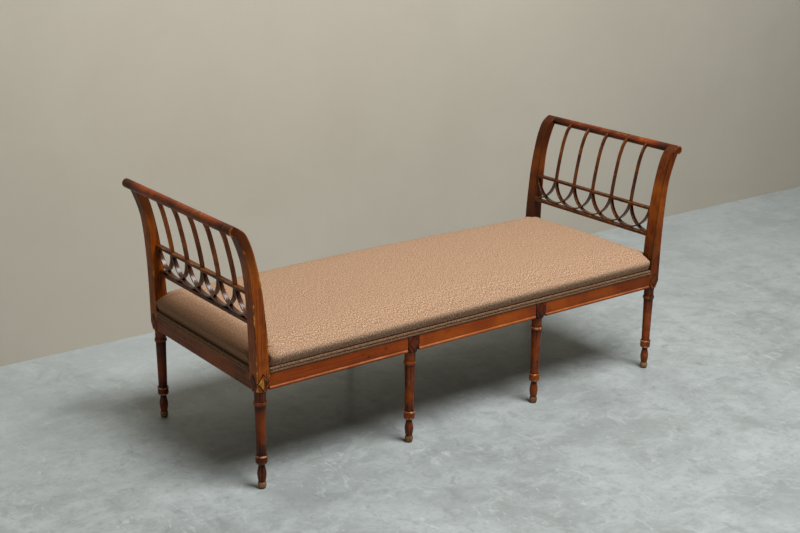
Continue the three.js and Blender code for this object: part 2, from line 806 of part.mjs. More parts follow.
function cordEdging(face_out, half_length, degrees) {
  const strip = barAlong(cordProfile(-face_out + cord_inset), -half_length, half_length);
  return strip.rotate([0, 0, degrees]);
}

function addFrame() {
  const sides = [['left', -1], ['right', 1]];
  const rows = [['front', -1], ['rear', 1]];
  sides.forEach(([side_name, side]) => rows.forEach(([row_name, row]) => {
    addPart(`post_${row_name}_${side_name}`, endPost(side, row), wood_frame);
    const leg = turnedLeg(side * post_centre_out, row * corner_leg_row);
    addPart(`leg_${row_name}_${side_name}`, leg, wood_leg);
  }));
  addPart('leg_front_left_middle', turnedLeg(-front_leg_out, -middle_leg_row), wood_leg);
  addPart('leg_front_right_middle', turnedLeg(front_leg_out, -middle_leg_row), wood_leg);
  addPart('leg_rear_middle', turnedLeg(rear_leg_offset, middle_leg_row), wood_leg);
  sides.forEach(([name, side]) => {
    const socket = stretcherSocket(side * front_leg_out, -block_back_out, -1);
    addPart(`leg_block_front_${name}`, legBlock(side * front_leg_out, -1).subtract(socket), wood_leg);
  });
  addPart('leg_block_rear', legBlock(rear_leg_offset, 1), wood_leg);
}

function addRails() {
  const half = leg_block_width / 2;
  const block_edge = front_leg_out - half;
  const block_far_edge = front_leg_out + half;
  addPart('rail_front_left', longRail(-post_inner_reach, -block_far_edge, -1), wood_rail);
  addPart('rail_front_centre', longRail(-block_edge, block_edge, -1), wood_rail);
  addPart('rail_front_right', longRail(block_far_edge, post_inner_reach, -1), wood_rail);
  const back = rail_face_out - rail_thickness;
  const rear_spans = [
    ['rail_rear_left', -post_inner_reach, rear_leg_offset - half, -front_leg_out],
    ['rail_rear_right', rear_leg_offset + half, post_inner_reach, front_leg_out],
  ];
  rear_spans.forEach(([name, start, end, stretcher_x]) => {
    const socket = stretcherSocket(stretcher_x, back, 1);
    addPart(name, longRail(start, end, 1).subtract(socket), wood_rail);
  });
  addPart('rail_end_left', endRail(-1), wood_rail);
  addPart('rail_end_right', endRail(1), wood_rail);
  addPart('stretcher_left', stretcher(-front_leg_out), wood_inner);
  addPart('stretcher_right', stretcher(front_leg_out), wood_inner);
}

function addPanels() {
  [['left', -1], ['right', 1]].forEach(([name, side]) => {
    addPart(`crest_rail_${name}`, crestRail(side), wood_crest);
    addPart(`panel_middle_rail_${name}`, middleRail(side), wood_panel);
    const lower = panelRail(side, lower_rail_height, lower_rail_depth);
    addPart(`panel_lower_rail_${name}`, lower, wood_panel);
    barPlaces().forEach((y, i) => {
      const bar = barBody(side, y).add(barCore(side, y, 0));
      addPart(`panel_bar_${name}_${i + 1}`, bar, wood_panel);
    });
    for (let junction = 0; junction <= bay_count; junction += 1) {
      addPart(`panel_arc_${name}_${junction + 1}`, arcadeStrip(side, junction), wood_panel);
    }
  });
}

function addSeat() {
  addPart('seat_webbing', seatWebbing(), cloth_webbing);
  addPart('seat_pad', seatPad(), cloth_seat);
  const half_length = pad_notch_x;
  const half_width = pad_notch_y;
  addPart('cord_edging_front', cordEdging(rail_face_out, half_length, 0), cloth_cord);
  addPart('cord_edging_right', cordEdging(end_rail_face_out, half_width, 90), cloth_cord);
  addPart('cord_edging_rear', cordEdging(rail_face_out, half_length, 180), cloth_cord);
  addPart('cord_edging_left', cordEdging(end_rail_face_out, half_width, -90), cloth_cord);
}

addFrame();
addRails();
addPanels();
addSeat();

export default object;
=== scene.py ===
import math

import bmesh
import bpy
import numpy as np
from mathutils import Matrix, Vector, noise


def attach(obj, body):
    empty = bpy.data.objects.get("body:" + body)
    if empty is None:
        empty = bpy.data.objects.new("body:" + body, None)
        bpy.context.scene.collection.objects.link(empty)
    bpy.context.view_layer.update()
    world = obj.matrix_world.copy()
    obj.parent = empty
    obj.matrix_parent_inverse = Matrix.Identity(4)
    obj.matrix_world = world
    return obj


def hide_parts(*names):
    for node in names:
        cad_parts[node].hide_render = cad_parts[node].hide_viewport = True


MM = 0.001

SIDES = ((-1, "left"), (1, "right"))
ROWS = ((-1, "front"), (1, "rear"))

# Sizes of the solids, in millimetres
HALF_DEPTH = 366
SHOULDER = 342
RAIL_BOTTOM, RAIL_LEDGE, RAIL_TOP = 345, 400, 414
RAIL_FACE, END_RAIL_FACE = 363, 912
RAIL_THICKNESS, LEDGE_DEPTH = 30, 10
BEAD_HEIGHT, BEAD_OUT = 11, 2.5
# The groove over the bead, and the heights on a rail's face from which painted shade grows upwards
# under the welt
QUIRK_DEPTH, QUIRK_FLOOR, QUIRK_HEIGHT = 1.6, 0.3, 2
RAIL_SHADE_HEIGHTS = (376, 386, 394)
POST_IN = 866
POST_OUT = 914
POST_THICKNESS = 46
POST_INNER_FACE = 320
SCROLL = (979, 884)
SCROLL_RADIUS = 16
# The angles at which a post's inner and outer edge run into its scroll
SCROLL_JOINS = (130, -115)
# A post's edges, as shares of their rise and of their sweep
INNER_SHARES = [
    (0, 0), (0.2, 0.03), (0.4, 0.11), (0.6, 0.225), (0.8, 0.43), (0.9, 0.59), (0.96, 0.75),
    (1, 1),
]
OUTER_SHARES = [
    (0, 0), (0.2, 0.02), (0.4, 0.07), (0.6, 0.17), (0.75, 0.315), (0.85, 0.515), (0.95, 0.81),
    (1, 1),
]
# Half the width and half the height of a lozenge, and the height of its middle
LOZENGE = (20, 27)
LOZENGE_HEIGHT = 375
# Run and rise of the facets on the lower corners of a leg head
CHIP = (14.5, 30)
# Heights between which the arris of the front left post is chipped
CHIPPED = ((522, 530), (567, 573), (596, 644), (808, 820))
LEG_ROW = 343
CORNER_LEG, FRONT_LEG, REAR_LEG = 890, 293, -66
# Width and depth
BLOCK = (49, 46)
PANEL_INSET = 10
# The height of a panel rail's middle, and how high the rail is
MIDDLE_RAIL = (655.5, 10)
LOWER_RAIL = (554, 12)
PANEL_RAIL_WIDTH = 20
BAYS = 6
PITCH = 2 * POST_INNER_FACE / BAYS
BAR = (6, 15)
# How far a bar reaches into the middle rail and into the crest roll
BAR_TONGUES = (2, 5)
ARC = (6, 16)
# How far an arc's ends reach into the middle rail
ARC_HOUSING = 2.7
# Crossing strips differ in depth, so that their faces don't lie in one plane
ARC_STEP = 0.3
# The crest roll's worn ends, what is left of its radius there, and how far in it is dark
CREST_END, CREST_END_SHARE, CREST_DIRT = 0.6, 0.97, 110
PAD_END, PAD_FRONT = 913.5, 364.5
PAD_NOTCH = (865.2, 319.2)
CORD_RADIUS = 5
GAP = 0.3

# How far the middle of a rounded arris lies inside the sharp one, as a share of its radius
ARRIS = 0.29

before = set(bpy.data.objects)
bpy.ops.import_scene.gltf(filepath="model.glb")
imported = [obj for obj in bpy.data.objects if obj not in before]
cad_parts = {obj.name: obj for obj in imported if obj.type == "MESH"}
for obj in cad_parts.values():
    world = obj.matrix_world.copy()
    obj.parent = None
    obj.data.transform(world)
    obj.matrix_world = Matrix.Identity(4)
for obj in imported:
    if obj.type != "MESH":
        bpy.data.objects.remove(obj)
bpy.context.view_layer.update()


# Small mesh helpers

def catmull_rom(stations, count):
    """Points along the curve through the stations, evenly in its own parameter."""
    stations = np.asarray(stations, float)
    last = len(stations) - 1
    out = []
    for k in range(count + 1):
        place = last * k / count
        i = min(int(place), last - 1)
        t = place - i
        p0, p1 = stations[max(i - 1, 0)], stations[i]
        p2, p3 = stations[i + 1], stations[min(i + 2, last)]
        v0, v1 = (p2 - p0) / 2, (p3 - p1) / 2
        cubic, square = 2 * p1 - 2 * p2 + v0 + v1, -3 * p1 + 3 * p2 - 2 * v0 - v1
        out.append(cubic * t**3 + square * t**2 + v0 * t + p1)
    return np.array(out)


def scroll_point(degrees):
    angle = math.radians(degrees)
    x, height = SCROLL
    return x + SCROLL_RADIUS * math.cos(angle), height + SCROLL_RADIUS * math.sin(angle)


def sabre_edge(foot, join, shares):
    rise, run = join[1] - RAIL_LEDGE, join[0] - foot
    return catmull_rom([(foot + run * out, RAIL_LEDGE + rise * up) for up, out in shares], 72)


INNER_EDGE = sabre_edge(POST_IN, scroll_point(SCROLL_JOINS[0]), INNER_SHARES)
OUTER_EDGE = sabre_edge(POST_OUT, scroll_point(SCROLL_JOINS[1]), OUTER_SHARES)


def panel_reach(height):
    return float(np.interp(height, INNER_EDGE[:, 1], INNER_EDGE[:, 0])) + PANEL_INSET


def rectangle(u0, u1, v0, v1):
    return [(u0, v0), (u1, v0), (u1, v1), (u0, v1)]


def soften(points, radius, margin, wear_and_shading=None, corner=20):
    """
    Rounds the sharp corners of a closed anticlockwise loop. Returns its points, their wear,
    highest on the corners, and for each point the place where it arrives when the loop moves
    inwards by the margin.
    """
    points = np.asarray(points, float)
    wear_and_shading = np.zeros(len(points)) if wear_and_shading is None else np.asarray(wear_and_shading, float)
    out = []
    for i, point in enumerate(points):
        a, b = points[i - 1] - point, points[(i + 1) % len(points)] - point
        la, lb = np.linalg.norm(a), np.linalg.norm(b)
        a, b = a / la, b / lb
        in_a, in_b = np.array([a[1], -a[0]]), np.array([-b[1], b[0]])
        core = point + (in_a + in_b) / max(1 + float(in_a @ in_b), 0.3) * margin
        turn = 180 - math.degrees(math.acos(max(-1, min(1, float(a @ b)))))
        if turn < corner:
            out.append((point, wear_and_shading[i], core))
            continue
        slope = math.tan(math.radians(turn) / 2)
        convex = float(in_a @ b) > 0
        reach = margin * max(1, slope if convex else 1)
        run = min(radius * slope, la * 0.3, lb * 0.3)
        if la > 2.2 * reach:
            out.append((point + a * reach, wear_and_shading[i], point + a * reach + in_a * margin))
        for share in (0, 0.5, 1):
            straight = (point + a * run) * (1 - share) + (point + b * run) * share
            bulge = 0.3 * (1 - abs(2 * share - 1))
            out.append((straight * (1 - bulge) + point * bulge, 1, core))
        if lb > 2.2 * reach:
            out.append((point + b * reach, wear_and_shading[i], point + b * reach + in_b * margin))
    return tuple(np.array(column) for column in zip(*out))


def ring_faces(count, rings, base=0, capped=True):
    """The faces between closed loops of points that follow each other, and of both ends."""
    faces = []
    last = base + (rings - 1) * count
    for a in range(base, last, count):
        for i in range(count):
            j = (i + 1) % count
            faces.append((a + i, a + j, a + count + j, a + count + i))
    if capped:
        faces.append(tuple(range(base + count - 1, base - 1, -1)))
        faces.append(tuple(range(last, last + count)))
    return faces


def prism(softened, low, high, radius, margin, steps=0):
    """A slab with rounded edges: points (u, v, w), their wear, and faces."""
    outline, worn, cores = softened
    # From the flat face round to the side: (inset, rise, wear)
    half = [
        (margin, 0, 0), (radius, 0, 0.8), (radius * ARRIS, radius * ARRIS, 1),
        (0, radius, 0.8), (0, margin, 0),
    ]
    rings = [(inset, low + rise, wear_and_shading) for inset, rise, wear_and_shading in half]
    for k in range(1, steps):
        rings.append((0, low + margin + (high - low - 2 * margin) * k / steps, 0))
    rings += [(inset, high - rise, wear_and_shading) for inset, rise, wear_and_shading in reversed(half)]
    points, wear_and_shading = [], []
    for inset, level, ring_wear in rings:
        loop = outline + (cores - outline) * (inset / margin)
        points += [(u, v, level) for u, v in loop]
        wear_and_shading += list(np.maximum(ring_wear, worn if inset < margin else np.zeros(len(outline))))
    return np.array(points), np.array(wear_and_shading), ring_faces(len(outline), len(rings))


def directions(path):
    """Unit tangents and normals of a plane path."""
    tangents = np.gradient(path, axis=0)
    tangents /= np.linalg.norm(tangents, axis=1)[:, None]
    return tangents, np.stack([tangents[:, 1], -tangents[:, 0]], 1)


def sweep(path, width, depth, radius, margin):
    """
    A strip of rounded rectangular section along a plane path. Its width lies in the path's
    plane and its depth across it. Returns points (u, v, w), their wear, and faces.
    """
    path = np.asarray(path, float)
    tangents, normals = directions(path)
    a, b = width / 2, depth / 2
    section, worn, cores = soften(rectangle(-a, a, -b, b), radius, margin)
    last = len(path) - 1
    stations = [(0, -radius, radius), (0, -radius * ARRIS, radius * ARRIS)]
    stations += [(k, 0, 0) for k in range(1, last)]
    stations += [(last, radius * ARRIS, radius * ARRIS), (last, radius, radius)]
    points, wear_and_shading = [], []
    for k, push, inset in stations:
        loop = section + (cores - section) * (inset / margin)
        for (across, w), value in zip(loop, worn):
            u, v = path[k] + normals[k] * across + tangents[k] * push * 0.5
            points.append((u, v, w))
            wear_and_shading.append(value)
    return np.array(points), np.array(wear_and_shading), ring_faces(len(section), len(stations))


def turns(count):
    return [2 * math.pi * k / count for k in range(count)]


def lathe(profile, segments=48):
    """A turned shape about Z, from (radius, height, wear). It starts and ends on the axis."""
    (_, low, low_wear), *rings, (_, high, high_wear) = profile
    points, wear_and_shading = [(0, 0, low)], [low_wear]
    for radius, height, value in rings:
        points += [(radius * math.cos(t), radius * math.sin(t), height) for t in turns(segments)]
        wear_and_shading += [value] * segments
    points.append((0, 0, high))
    wear_and_shading.append(high_wear)
    faces = ring_faces(segments, len(rings), 1, False)
    top = len(points) - 1
    base = top - segments
    for k in range(segments):
        after = (k + 1) % segments
        faces += [(0, 1 + after, 1 + k), (top, base + k, base + after)]
    return np.array(points), np.array(wear_and_shading), faces


def linked(name, data):
    made = bpy.data.objects.new(name, data)
    bpy.context.scene.collection.objects.link(made)
    return made


def shell(name, points, faces):
    mesh = bpy.data.meshes.new(name)
    mesh.from_pydata(points.tolist(), [], faces)
    return mesh


def face_outwards(mesh):
    bm = bmesh.new()
    bm.from_mesh(mesh)
    bmesh.ops.recalc_face_normals(bm, faces=bm.faces)
    bm.to_mesh(mesh)
    bm.free()


def build(node, suffix, slot, material, *parts):
    """One object from (points in millimetres, wear, faces) parts. It stands for the node."""
    faces, shift = [], 0
    for points, _, part_faces in parts:
        faces += [tuple(i + shift for i in face) for face in part_faces]
        shift += len(points)
    points, wear_and_shading, _ = zip(*parts)
    mesh = shell(node + suffix, np.concatenate(points) * MM, faces)
    # Real wear together with painted highlights and painted shade, point by point
    worn = mesh.attributes.new("wear_and_shading", "FLOAT", "POINT")
    worn.data.foreach_set("value", np.concatenate(wear_and_shading).astype(np.float32))
    face_outwards(mesh)
    mesh.shade_smooth()
    mesh.materials.append(material)
    piece = linked(node + suffix, mesh)
    piece.modifiers.new("normals", "WEIGHTED_NORMAL").keep_sharp = True
    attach(piece, "root")
    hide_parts(node)
    return piece


def cut_flat(part, origin, normal, core):
    """
    Cuts a part with a plane, keeps what lies behind it and closes the cut with a facet that
    has a dark outline around a core of its own wear.
    """
    points, wear_and_shading, faces = part
    bm = bmesh.new()
    layer = bm.verts.layers.float.new("wear_and_shading")

    def vertex(place, value):
        made = bm.verts.new(place)
        made[layer] = value
        return made

    verts = [vertex(place, value) for place, value in zip(points, wear_and_shading)]
    for face in faces:
        bm.faces.new([verts[i] for i in face])
    cut = bmesh.ops.bisect_plane(
        bm, geom=bm.verts[:] + bm.edges[:] + bm.faces[:], plane_co=origin, plane_no=normal,
        clear_outer=True, dist=1e-4,
    )["geom_cut"]
    for vert in (v for v in cut if isinstance(v, bmesh.types.BMVert)):
        vert[layer] = 0
    rim = [e for e in cut if isinstance(e, bmesh.types.BMEdge) and e.is_boundary]
    for face in bmesh.ops.holes_fill(bm, edges=rim, sides=0)["faces"]:
        ring, centre = list(face.verts), face.calc_center_median()
        bm.faces.remove(face)
        for share, value in ((0.88, -1), (0.8, -0.9), (0.75, core), (0.4, core)):
            inner = [vertex(centre + (vert.co - centre) * share, value) for vert in ring]
            for i in range(len(ring)):
                j = (i + 1) % len(ring)
                bm.faces.new((ring[i], ring[j], inner[j], inner[i]))
            ring = inner
        bm.faces.new(ring)
    bm.verts.index_update()
    out = (
        np.array([v.co[:] for v in bm.verts]),
        np.array([v[layer] for v in bm.verts]),
        [tuple(v.index for v in f.verts) for f in bm.faces],
    )
    bm.free()
    return out


def mapped(part, place):
    points, wear_and_shading, faces = part
    return np.array([place(*p) for p in points]), wear_and_shading, faces


def ramp(value, low, high):
    t = np.clip((value - low) / (high - low), 0, 1)
    return t * t * (3 - 2 * t)


def shaded(part, field):
    """Adds a field of (points, wear), such as painted shade and deep chips, to a part's wear."""
    points, wear_and_shading, faces = part
    return points, wear_and_shading + field(points, wear_and_shading), faces


# Colours and node helpers

REFLECTED = 0.8


def linear(*rgb, share=1):
    out = []
    for value in rgb:
        value /= 255
        value = value / 12.92 if value <= 0.04045 else ((value + 0.055) / 1.055) ** 2.4
        out.append(share * value)
    return (*out, 1)


def surface(*rgb):
    """A tone under the key light. What a surface reflects is a fixed share of it."""
    return linear(*rgb, share=REFLECTED)


def scaled(color, factor):
    return tuple(factor * c for c in color[:3]) + (1,)


def stretched(axis, across, along):
    """A scale that is the same across an axis and another along it."""
    return [along if one == axis else across for one in "XYZ"]


class Graph:
    """A short way to write the nodes of a material or a world."""

    def __init__(self, owner, output="OutputMaterial"):
        owner.use_nodes = True
        self.owner, self.tree = owner, owner.node_tree
        self.tree.nodes.clear()
        self.out = self.node(output).inputs["Surface"]

    def set(self, socket, value):
        if isinstance(value, bpy.types.NodeSocket):
            self.tree.links.new(value, socket)
        else:
            socket.default_value = value

    def node(self, kind, inputs=(), **settings):
        made = self.tree.nodes.new("ShaderNode" + kind)
        for key, value in settings.items():
            setattr(made, key, value)
        for key, value in dict(inputs).items():
            self.set(made.inputs[key], value)
        return made

    def place(self, scale=(1, 1, 1), shift=(0, 0, 0), attribute=None):
        if attribute:
            source = self.node("Attribute", attribute_name=attribute).outputs["Vector"]
        else:
            source = self.node("TexCoord").outputs["Object"]
        inputs = {"Vector": source, "Scale": scale, "Location": shift}
        return self.node("Mapping", inputs).outputs["Vector"]

    def noise(self, vector, scale, detail=3, roughness=0.5, distortion=0):
        return self.node("TexNoise", {
            "Vector": vector, "Scale": scale, "Detail": detail, "Roughness": roughness,
            "Distortion": distortion,
        }).outputs["Fac"]

    def waves(self, vector, direction, scale, inputs=(), profile="SIN"):
        return self.node(
            "TexWave", {"Vector": vector, "Scale": scale, **dict(inputs)}, wave_type="BANDS",
            bands_direction=direction, wave_profile=profile,
        ).outputs["Fac"]

    def span(self, value, low, high, to_low=0, to_high=1, kind="SMOOTHSTEP"):
        return self.node("MapRange", {
            "Value": value, "From Min": low, "From Max": high, "To Min": to_low,
            "To Max": to_high,
        }, interpolation_type=kind).outputs["Result"]

    def math(self, operation, a, b, clamp=False):
        return self.node("Math", {0: a, 1: b}, operation=operation, use_clamp=clamp).outputs[0]

    def mix(self, share, a, b, blend="MIX"):
        inputs = {"Factor": share, "A": a, "B": b}
        return self.node("Mix", inputs, data_type="RGBA", blend_type=blend).outputs["Result"]

    def times(self, a, b, clamp=False):
        return self.math("MULTIPLY", a, b, clamp)

    def over(self, color, *layers):
        """
        Lays colours over a colour, each as (colour, value, low, high, most): more and more as
        its value goes from low to high.
        """
        for top, value, low, high, *most in layers:
            color = self.mix(self.span(value, low, high, 0, *most), color, top)
        return color

    def bump(self, height, strength, distance, normal=None):
        inputs = {"Height": height, "Strength": strength, "Distance": distance}
        if normal is not None:
            inputs["Normal"] = normal
        return self.node("Bump", inputs).outputs["Normal"]

    def shade(self, color, roughness, normal, **fixed):
        inputs = {"Base Color": color, "Roughness": roughness, "Normal": normal}
        shader = self.node("BsdfPrincipled", inputs)
        for key, value in fixed.items():
            shader.inputs[key.replace("_", " ")].default_value = value
        self.set(self.out, shader.outputs[0])
        return self.owner

    def overlay(self, share, shader):
        """Mixes another shader over the one that is shown."""
        below = self.out.links[0].from_socket
        self.set(self.out, self.node("MixShader", {0: share, 1: below, 2: shader}).outputs[0])


def stained_wood(
    name, along, base, deep, warm, worn, wear_gain, patch=5, seed=0, specks=1, gloss=0.14,
    least=0.1, outline=0.35, knots=(),
):
    """
    Old stained wood whose grain runs along one axis: streaks, pores, patches, worn arrises and
    specks. least is the share of a worn arris that shows even where nothing rubbed it, and
    outline the dark stain that has gathered along it. A knot is a place and a radius, in
    millimetres.
    """
    g = Graph(bpy.data.materials.new(name))
    base, deep, warm, worn = (surface(*tone) for tone in (base, deep, warm, worn))
    black = scaled(deep, 0.3)
    space = g.place(shift=(seed * 0.1, seed * 0.13, seed * 0.07))
    grain_space = g.place(stretched(along, 210, 5), (seed, seed * 1.7, seed * 0.6))
    streaks = g.noise(grain_space, 1, 5, 0.62, 0.25)
    pore_space = g.place(stretched(along, 840, 20), (seed * 2, seed, seed))
    pores = g.noise(pore_space, 1, 3, 0.6)
    patches = g.noise(space, patch, 3, 0.55, 0.4)
    clouds = g.noise(space, patch * 5, 3, 0.6)
    color = g.over(
        deep, (base, streaks, 0.4, 0.58), (warm, patches, 0.42, 0.62, 0.8),
        (deep, clouds, 0.5, 0.78, 0.42), (deep, pores, 0.56, 0.72, 0.35),
    )
    for place, radius in knots:
        oval = stretched(along, 1, 0.6)
        middle = [value * MM * factor for value, factor in zip(place, oval)]
        apart = g.node("VectorMath", {0: g.place(oval), 1: middle}, operation="DISTANCE")
        apart = apart.outputs["Value"]
        color = g.over(
            color, (deep, apart, radius * 1.9 * MM, radius * MM, 0.5),
            (black, apart, radius * MM, radius * 0.5 * MM, 0.8),
        )
    wear_and_shading = g.node("Attribute", attribute_name="wear_and_shading").outputs["Fac"]
    chips = g.noise(g.place(stretched(along, 125, 50), (seed, 1.3, seed)), 1, 4, 0.7)
    rub = g.noise(space, 15, 2, 0.5)
    # Positive values show worn arrises, with painted highlights on the beads and leg rings
    high = g.math("MAXIMUM", wear_and_shading, 0)
    edge = g.times(high, g.span(rub, 0.42, 0.62, least, 1))
    edge = g.times(g.times(edge, g.span(chips, 0.48, 0.58, least, 1)), wear_gain, True)
    color = g.mix(g.times(high, outline, True), color, black)
    color = g.mix(edge, color, worn)
    dots = g.noise(g.place(shift=(seed, 0.3, 0.9)), 230, 2, 0.5)
    zones = g.noise(space, 9, 2, 0.5)
    dots = g.times(g.span(dots, 0.7, 0.76), g.span(zones, 0.5, 0.66), True)
    color = g.mix(g.times(dots, 0.75 * specks), color, worn)
    dirt_and_shade = g.noise(g.place(shift=(0.7, seed, 0.2)), 130, 2, 0.55)
    color = g.over(color, (black, dirt_and_shade, 0.66, 0.76, 0.6))
    # Negative values darken the wood: dark grime in carved grooves, and painted shade under
    # overhangs, in hollows and on shaded legs and posts
    color = g.mix(g.span(wear_and_shading, 0, -0.8, 0, 0.85, "LINEAR"), color, black)
    rough = g.span(g.noise(space, 38, 3, 0.6), 0.3, 0.7, 0.4, 0.6, "LINEAR")
    rough = g.math("ADD", rough, g.times(edge, 0.16))
    normal = g.bump(pores, 0.1, 0.0003, g.bump(streaks, 0.16, 0.0007))
    normal = g.bump(g.noise(space, 55, 3, 0.5), 0.12, 0.0012, normal)
    return g.shade(
        color, rough, normal, Coat_Weight=gloss, Coat_Roughness=0.16, Specular_IOR_Level=0.1,
    )


def bare_wood(name):
    g = Graph(bpy.data.materials.new(name))
    grain = g.noise(g.place((160, 4, 160)), 1, 5, 0.6, 0.2)
    dust = g.noise(g.place(), 12, 3, 0.6)
    color = g.over(
        surface(122, 88, 54), (surface(170, 132, 88), grain, 0.35, 0.68),
        (surface(112, 92, 70), dust, 0.45, 0.75, 0.5),
    )
    rough = g.span(dust, 0.2, 0.8, 0.72, 0.9, "LINEAR")
    return g.shade(color, rough, g.bump(grain, 0.3, 0.0008), Specular_IOR_Level=0.3)


def webbing_cloth(name):
    g = Graph(bpy.data.materials.new(name))
    space = g.place()
    threads = [g.waves(space, axis, 110, {"Distortion": 0.6}) for axis in "XY"]
    weave = g.times(*threads)
    strap = g.span(g.waves(space, "X", 2.2, profile="SAW"), 0.9, 0.96)
    color = g.over(surface(104, 86, 60), (surface(152, 130, 96), weave, 0.1, 0.7))
    color = g.mix(g.times(strap, 0.6), color, surface(70, 56, 40))
    return g.shade(color, 0.95, g.bump(weave, 0.5, 0.0008), Specular_IOR_Level=0.2)


def tweed(name, weave_pitch, light, middle, dark, painted_shade=None):
    """
    Heathered wool: mixed yarn flecks over a plain weave that follows the cloth. The last argument
    gives, in metres, the heights between which painted shade darkens the cloth downwards, and the
    same towards its left end.
    """
    g = Graph(bpy.data.materials.new(name))
    light, middle, dark = surface(*light), surface(*middle), surface(*dark)

    def yarn(scale, shift=(0, 0, 0), pitch=1, detail=2, roughness=0.6):
        return g.noise(g.place(scale, shift, "cloth"), pitch, detail, roughness)

    even = (1, 1, 1)
    cloth, space = g.place(attribute="cloth"), g.place()
    uneven = {"Distortion": 0.8, "Detail": 1, "Detail Scale": 2}
    threads = [g.waves(cloth, axis, 1 / (weave_pitch * 20), uneven) for axis in "XY"]
    weave = g.math("MAXIMUM", *threads)
    fleck = yarn(even, pitch=300)
    spark = yarn(even, (2, 5, 0), 620, 1, 0.5)
    color = g.over(
        dark, (middle, yarn((210, 420, 300)), 0.38, 0.6),
        (light, yarn((420, 150, 300), (3, 7, 1)), 0.46, 0.64, 0.8),
        (light, fleck, 0.55, 0.68, 0.55), (dark, fleck, 0.42, 0.3, 0.7),
        (light, spark, 0.66, 0.74, 0.6), (middle, g.noise(space, 7), 0.3, 0.75, 0.2),
    )
    heather = yarn((240, 125, 180), (4, 1, 0), detail=3, roughness=0.75)
    slub = yarn((300, 130, 240), (1, 2, 0), detail=1)
    tone = g.span(weave, 0.2, 0.75, 0.9, 1, "LINEAR")
    tone = g.times(tone, g.span(heather, 0.3, 0.7, 0.63, 1.37, "LINEAR"))
    tone = g.times(tone, g.span(slub, 0.3, 0.7, 0.8, 1.2, "LINEAR"))
    grey = g.node("CombineColor", {0: tone, 1: tone, 2: tone}).outputs[0]
    color = g.mix(1, color, grey, "MULTIPLY")
    # Painted shade, darker low on the walls and towards the left end
    if painted_shade:
        x, _, height = g.node("SeparateXYZ", {0: space}).outputs
        color = g.over(
            color, (surface(104, 67, 38), x, *painted_shade[2:], 0.7),
            (surface(88, 52, 28), height, *painted_shade[:2], 0.6),
        )
    normal = g.bump(fleck, 0.4, 0.0014, g.bump(weave, 0.25, 0.0006))
    return g.shade(
        color, 0.95, normal, Sheen_Weight=0.2, Sheen_Roughness=0.45,
        Sheen_Tint=linear(255, 216, 184), Specular_IOR_Level=0.1,
    )


# Grain axis, base, deep, warm and worn tone, how strongly wear shows, and what else differs
WORN = (220, 156, 78)
RAIL_KNOTS = (
    ((-480, -363, 368), 5), ((-504, -363, 380), 3.5), ((-410, -363, 380), 4),
    ((251, 363, 377), 4.5),
)
WOODS = {
    "frame_wood": ("Z", (152, 72, 8), (102, 42, 6), (178, 92, 10), WORN, 1.1, {"patch": 6}),
    "rail_wood": ("X", (152, 64, 8), (128, 53, 8), (178, 84, 11), (200, 134, 90), 1.1, {
        "seed": 3.1, "least": 0.6, "outline": 0.1, "knots": RAIL_KNOTS,
    }),
    "end_rail_wood": ("Y", (130, 66, 30), (92, 48, 26), (142, 74, 30), WORN, 0.6, {
        "seed": 5.3, "gloss": 0.08,
    }),
    "leg_wood": ("Z", (131, 54, 9), (62, 25, 8), (164, 74, 12), (220, 160, 108), 1.3, {
        "patch": 9, "seed": 1.7, "specks": 2.6, "gloss": 0.22,
    }),
    "block_wood": ("Z", (94, 35, 15), (50, 20, 11), (114, 45, 14), (150, 80, 42), 0.8, {
        "patch": 12, "seed": 2.9,
    }),
    "lozenge_wood": ("Z", (98, 41, 8), (54, 21, 7), (120, 55, 9), (178, 112, 50), 0.8, {
        "patch": 14, "seed": 9.4,
    }),
    "foot_wood": ("Z", (150, 106, 68), (100, 66, 38), (166, 124, 84), (188, 152, 114), 0.8, {
        "seed": 8.2,
    }),
    "panel_wood": ("Y", (90, 41, 11), (48, 22, 8), (114, 58, 13), (190, 124, 58), 1, {
        "patch": 8, "seed": 2.2, "gloss": 0.2, "outline": 0.2,
    }),
    "arc_wood": ("Y", (80, 35, 11), (44, 20, 8), (102, 50, 13), (184, 120, 56), 1, {
        "patch": 8, "seed": 2.9, "gloss": 0.7, "outline": 0.2,
    }),
    "bar_wood": ("Z", (90, 41, 10), (50, 23, 8), (116, 60, 12), (190, 124, 52), 0.7, {
        "patch": 9, "seed": 6.4, "gloss": 0.25, "outline": 0.2,
    }),
    "crest_wood": ("Y", (122, 46, 9), (64, 28, 8), (154, 64, 9), (206, 140, 70), 1, {
        "patch": 6, "seed": 4.6, "gloss": 0.22,
    }),
    "carved_wood": ("Z", (100, 42, 11), (56, 22, 9), (114, 50, 13), (206, 138, 50), 1.6, {
        "patch": 24, "seed": 7.7, "least": 0.3, "outline": 0.1,
    }),
}
woods = {name: stained_wood(name, *look, **more) for name, (*look, more) in WOODS.items()}
inner_wood = bare_wood("inner_wood")
webbing = webbing_cloth("webbing_cloth")
# The last tuple places painted shade low on the seat's walls and at its left end
cloth = tweed(
    "seat_cloth", 0.0022, (229, 193, 161), (188, 151, 121), (110, 80, 60),
    (0.449, 0.418, -0.815, -0.875),
)
cord_cloth = tweed("cord_cloth", 0.0018, (176, 140, 108), (116, 83, 60), (60, 41, 28))


# Posts

def post_outline():
    start, turn = SCROLL_JOINS[0], SCROLL_JOINS[1] - SCROLL_JOINS[0]
    scroll = [scroll_point(start + turn * k / 24) for k in range(1, 24)]
    up = [(POST_IN, SHOULDER), *INNER_EDGE, *scroll]
    return [*up, *OUTER_EDGE[::-1], (POST_OUT, SHOULDER)][::-1]


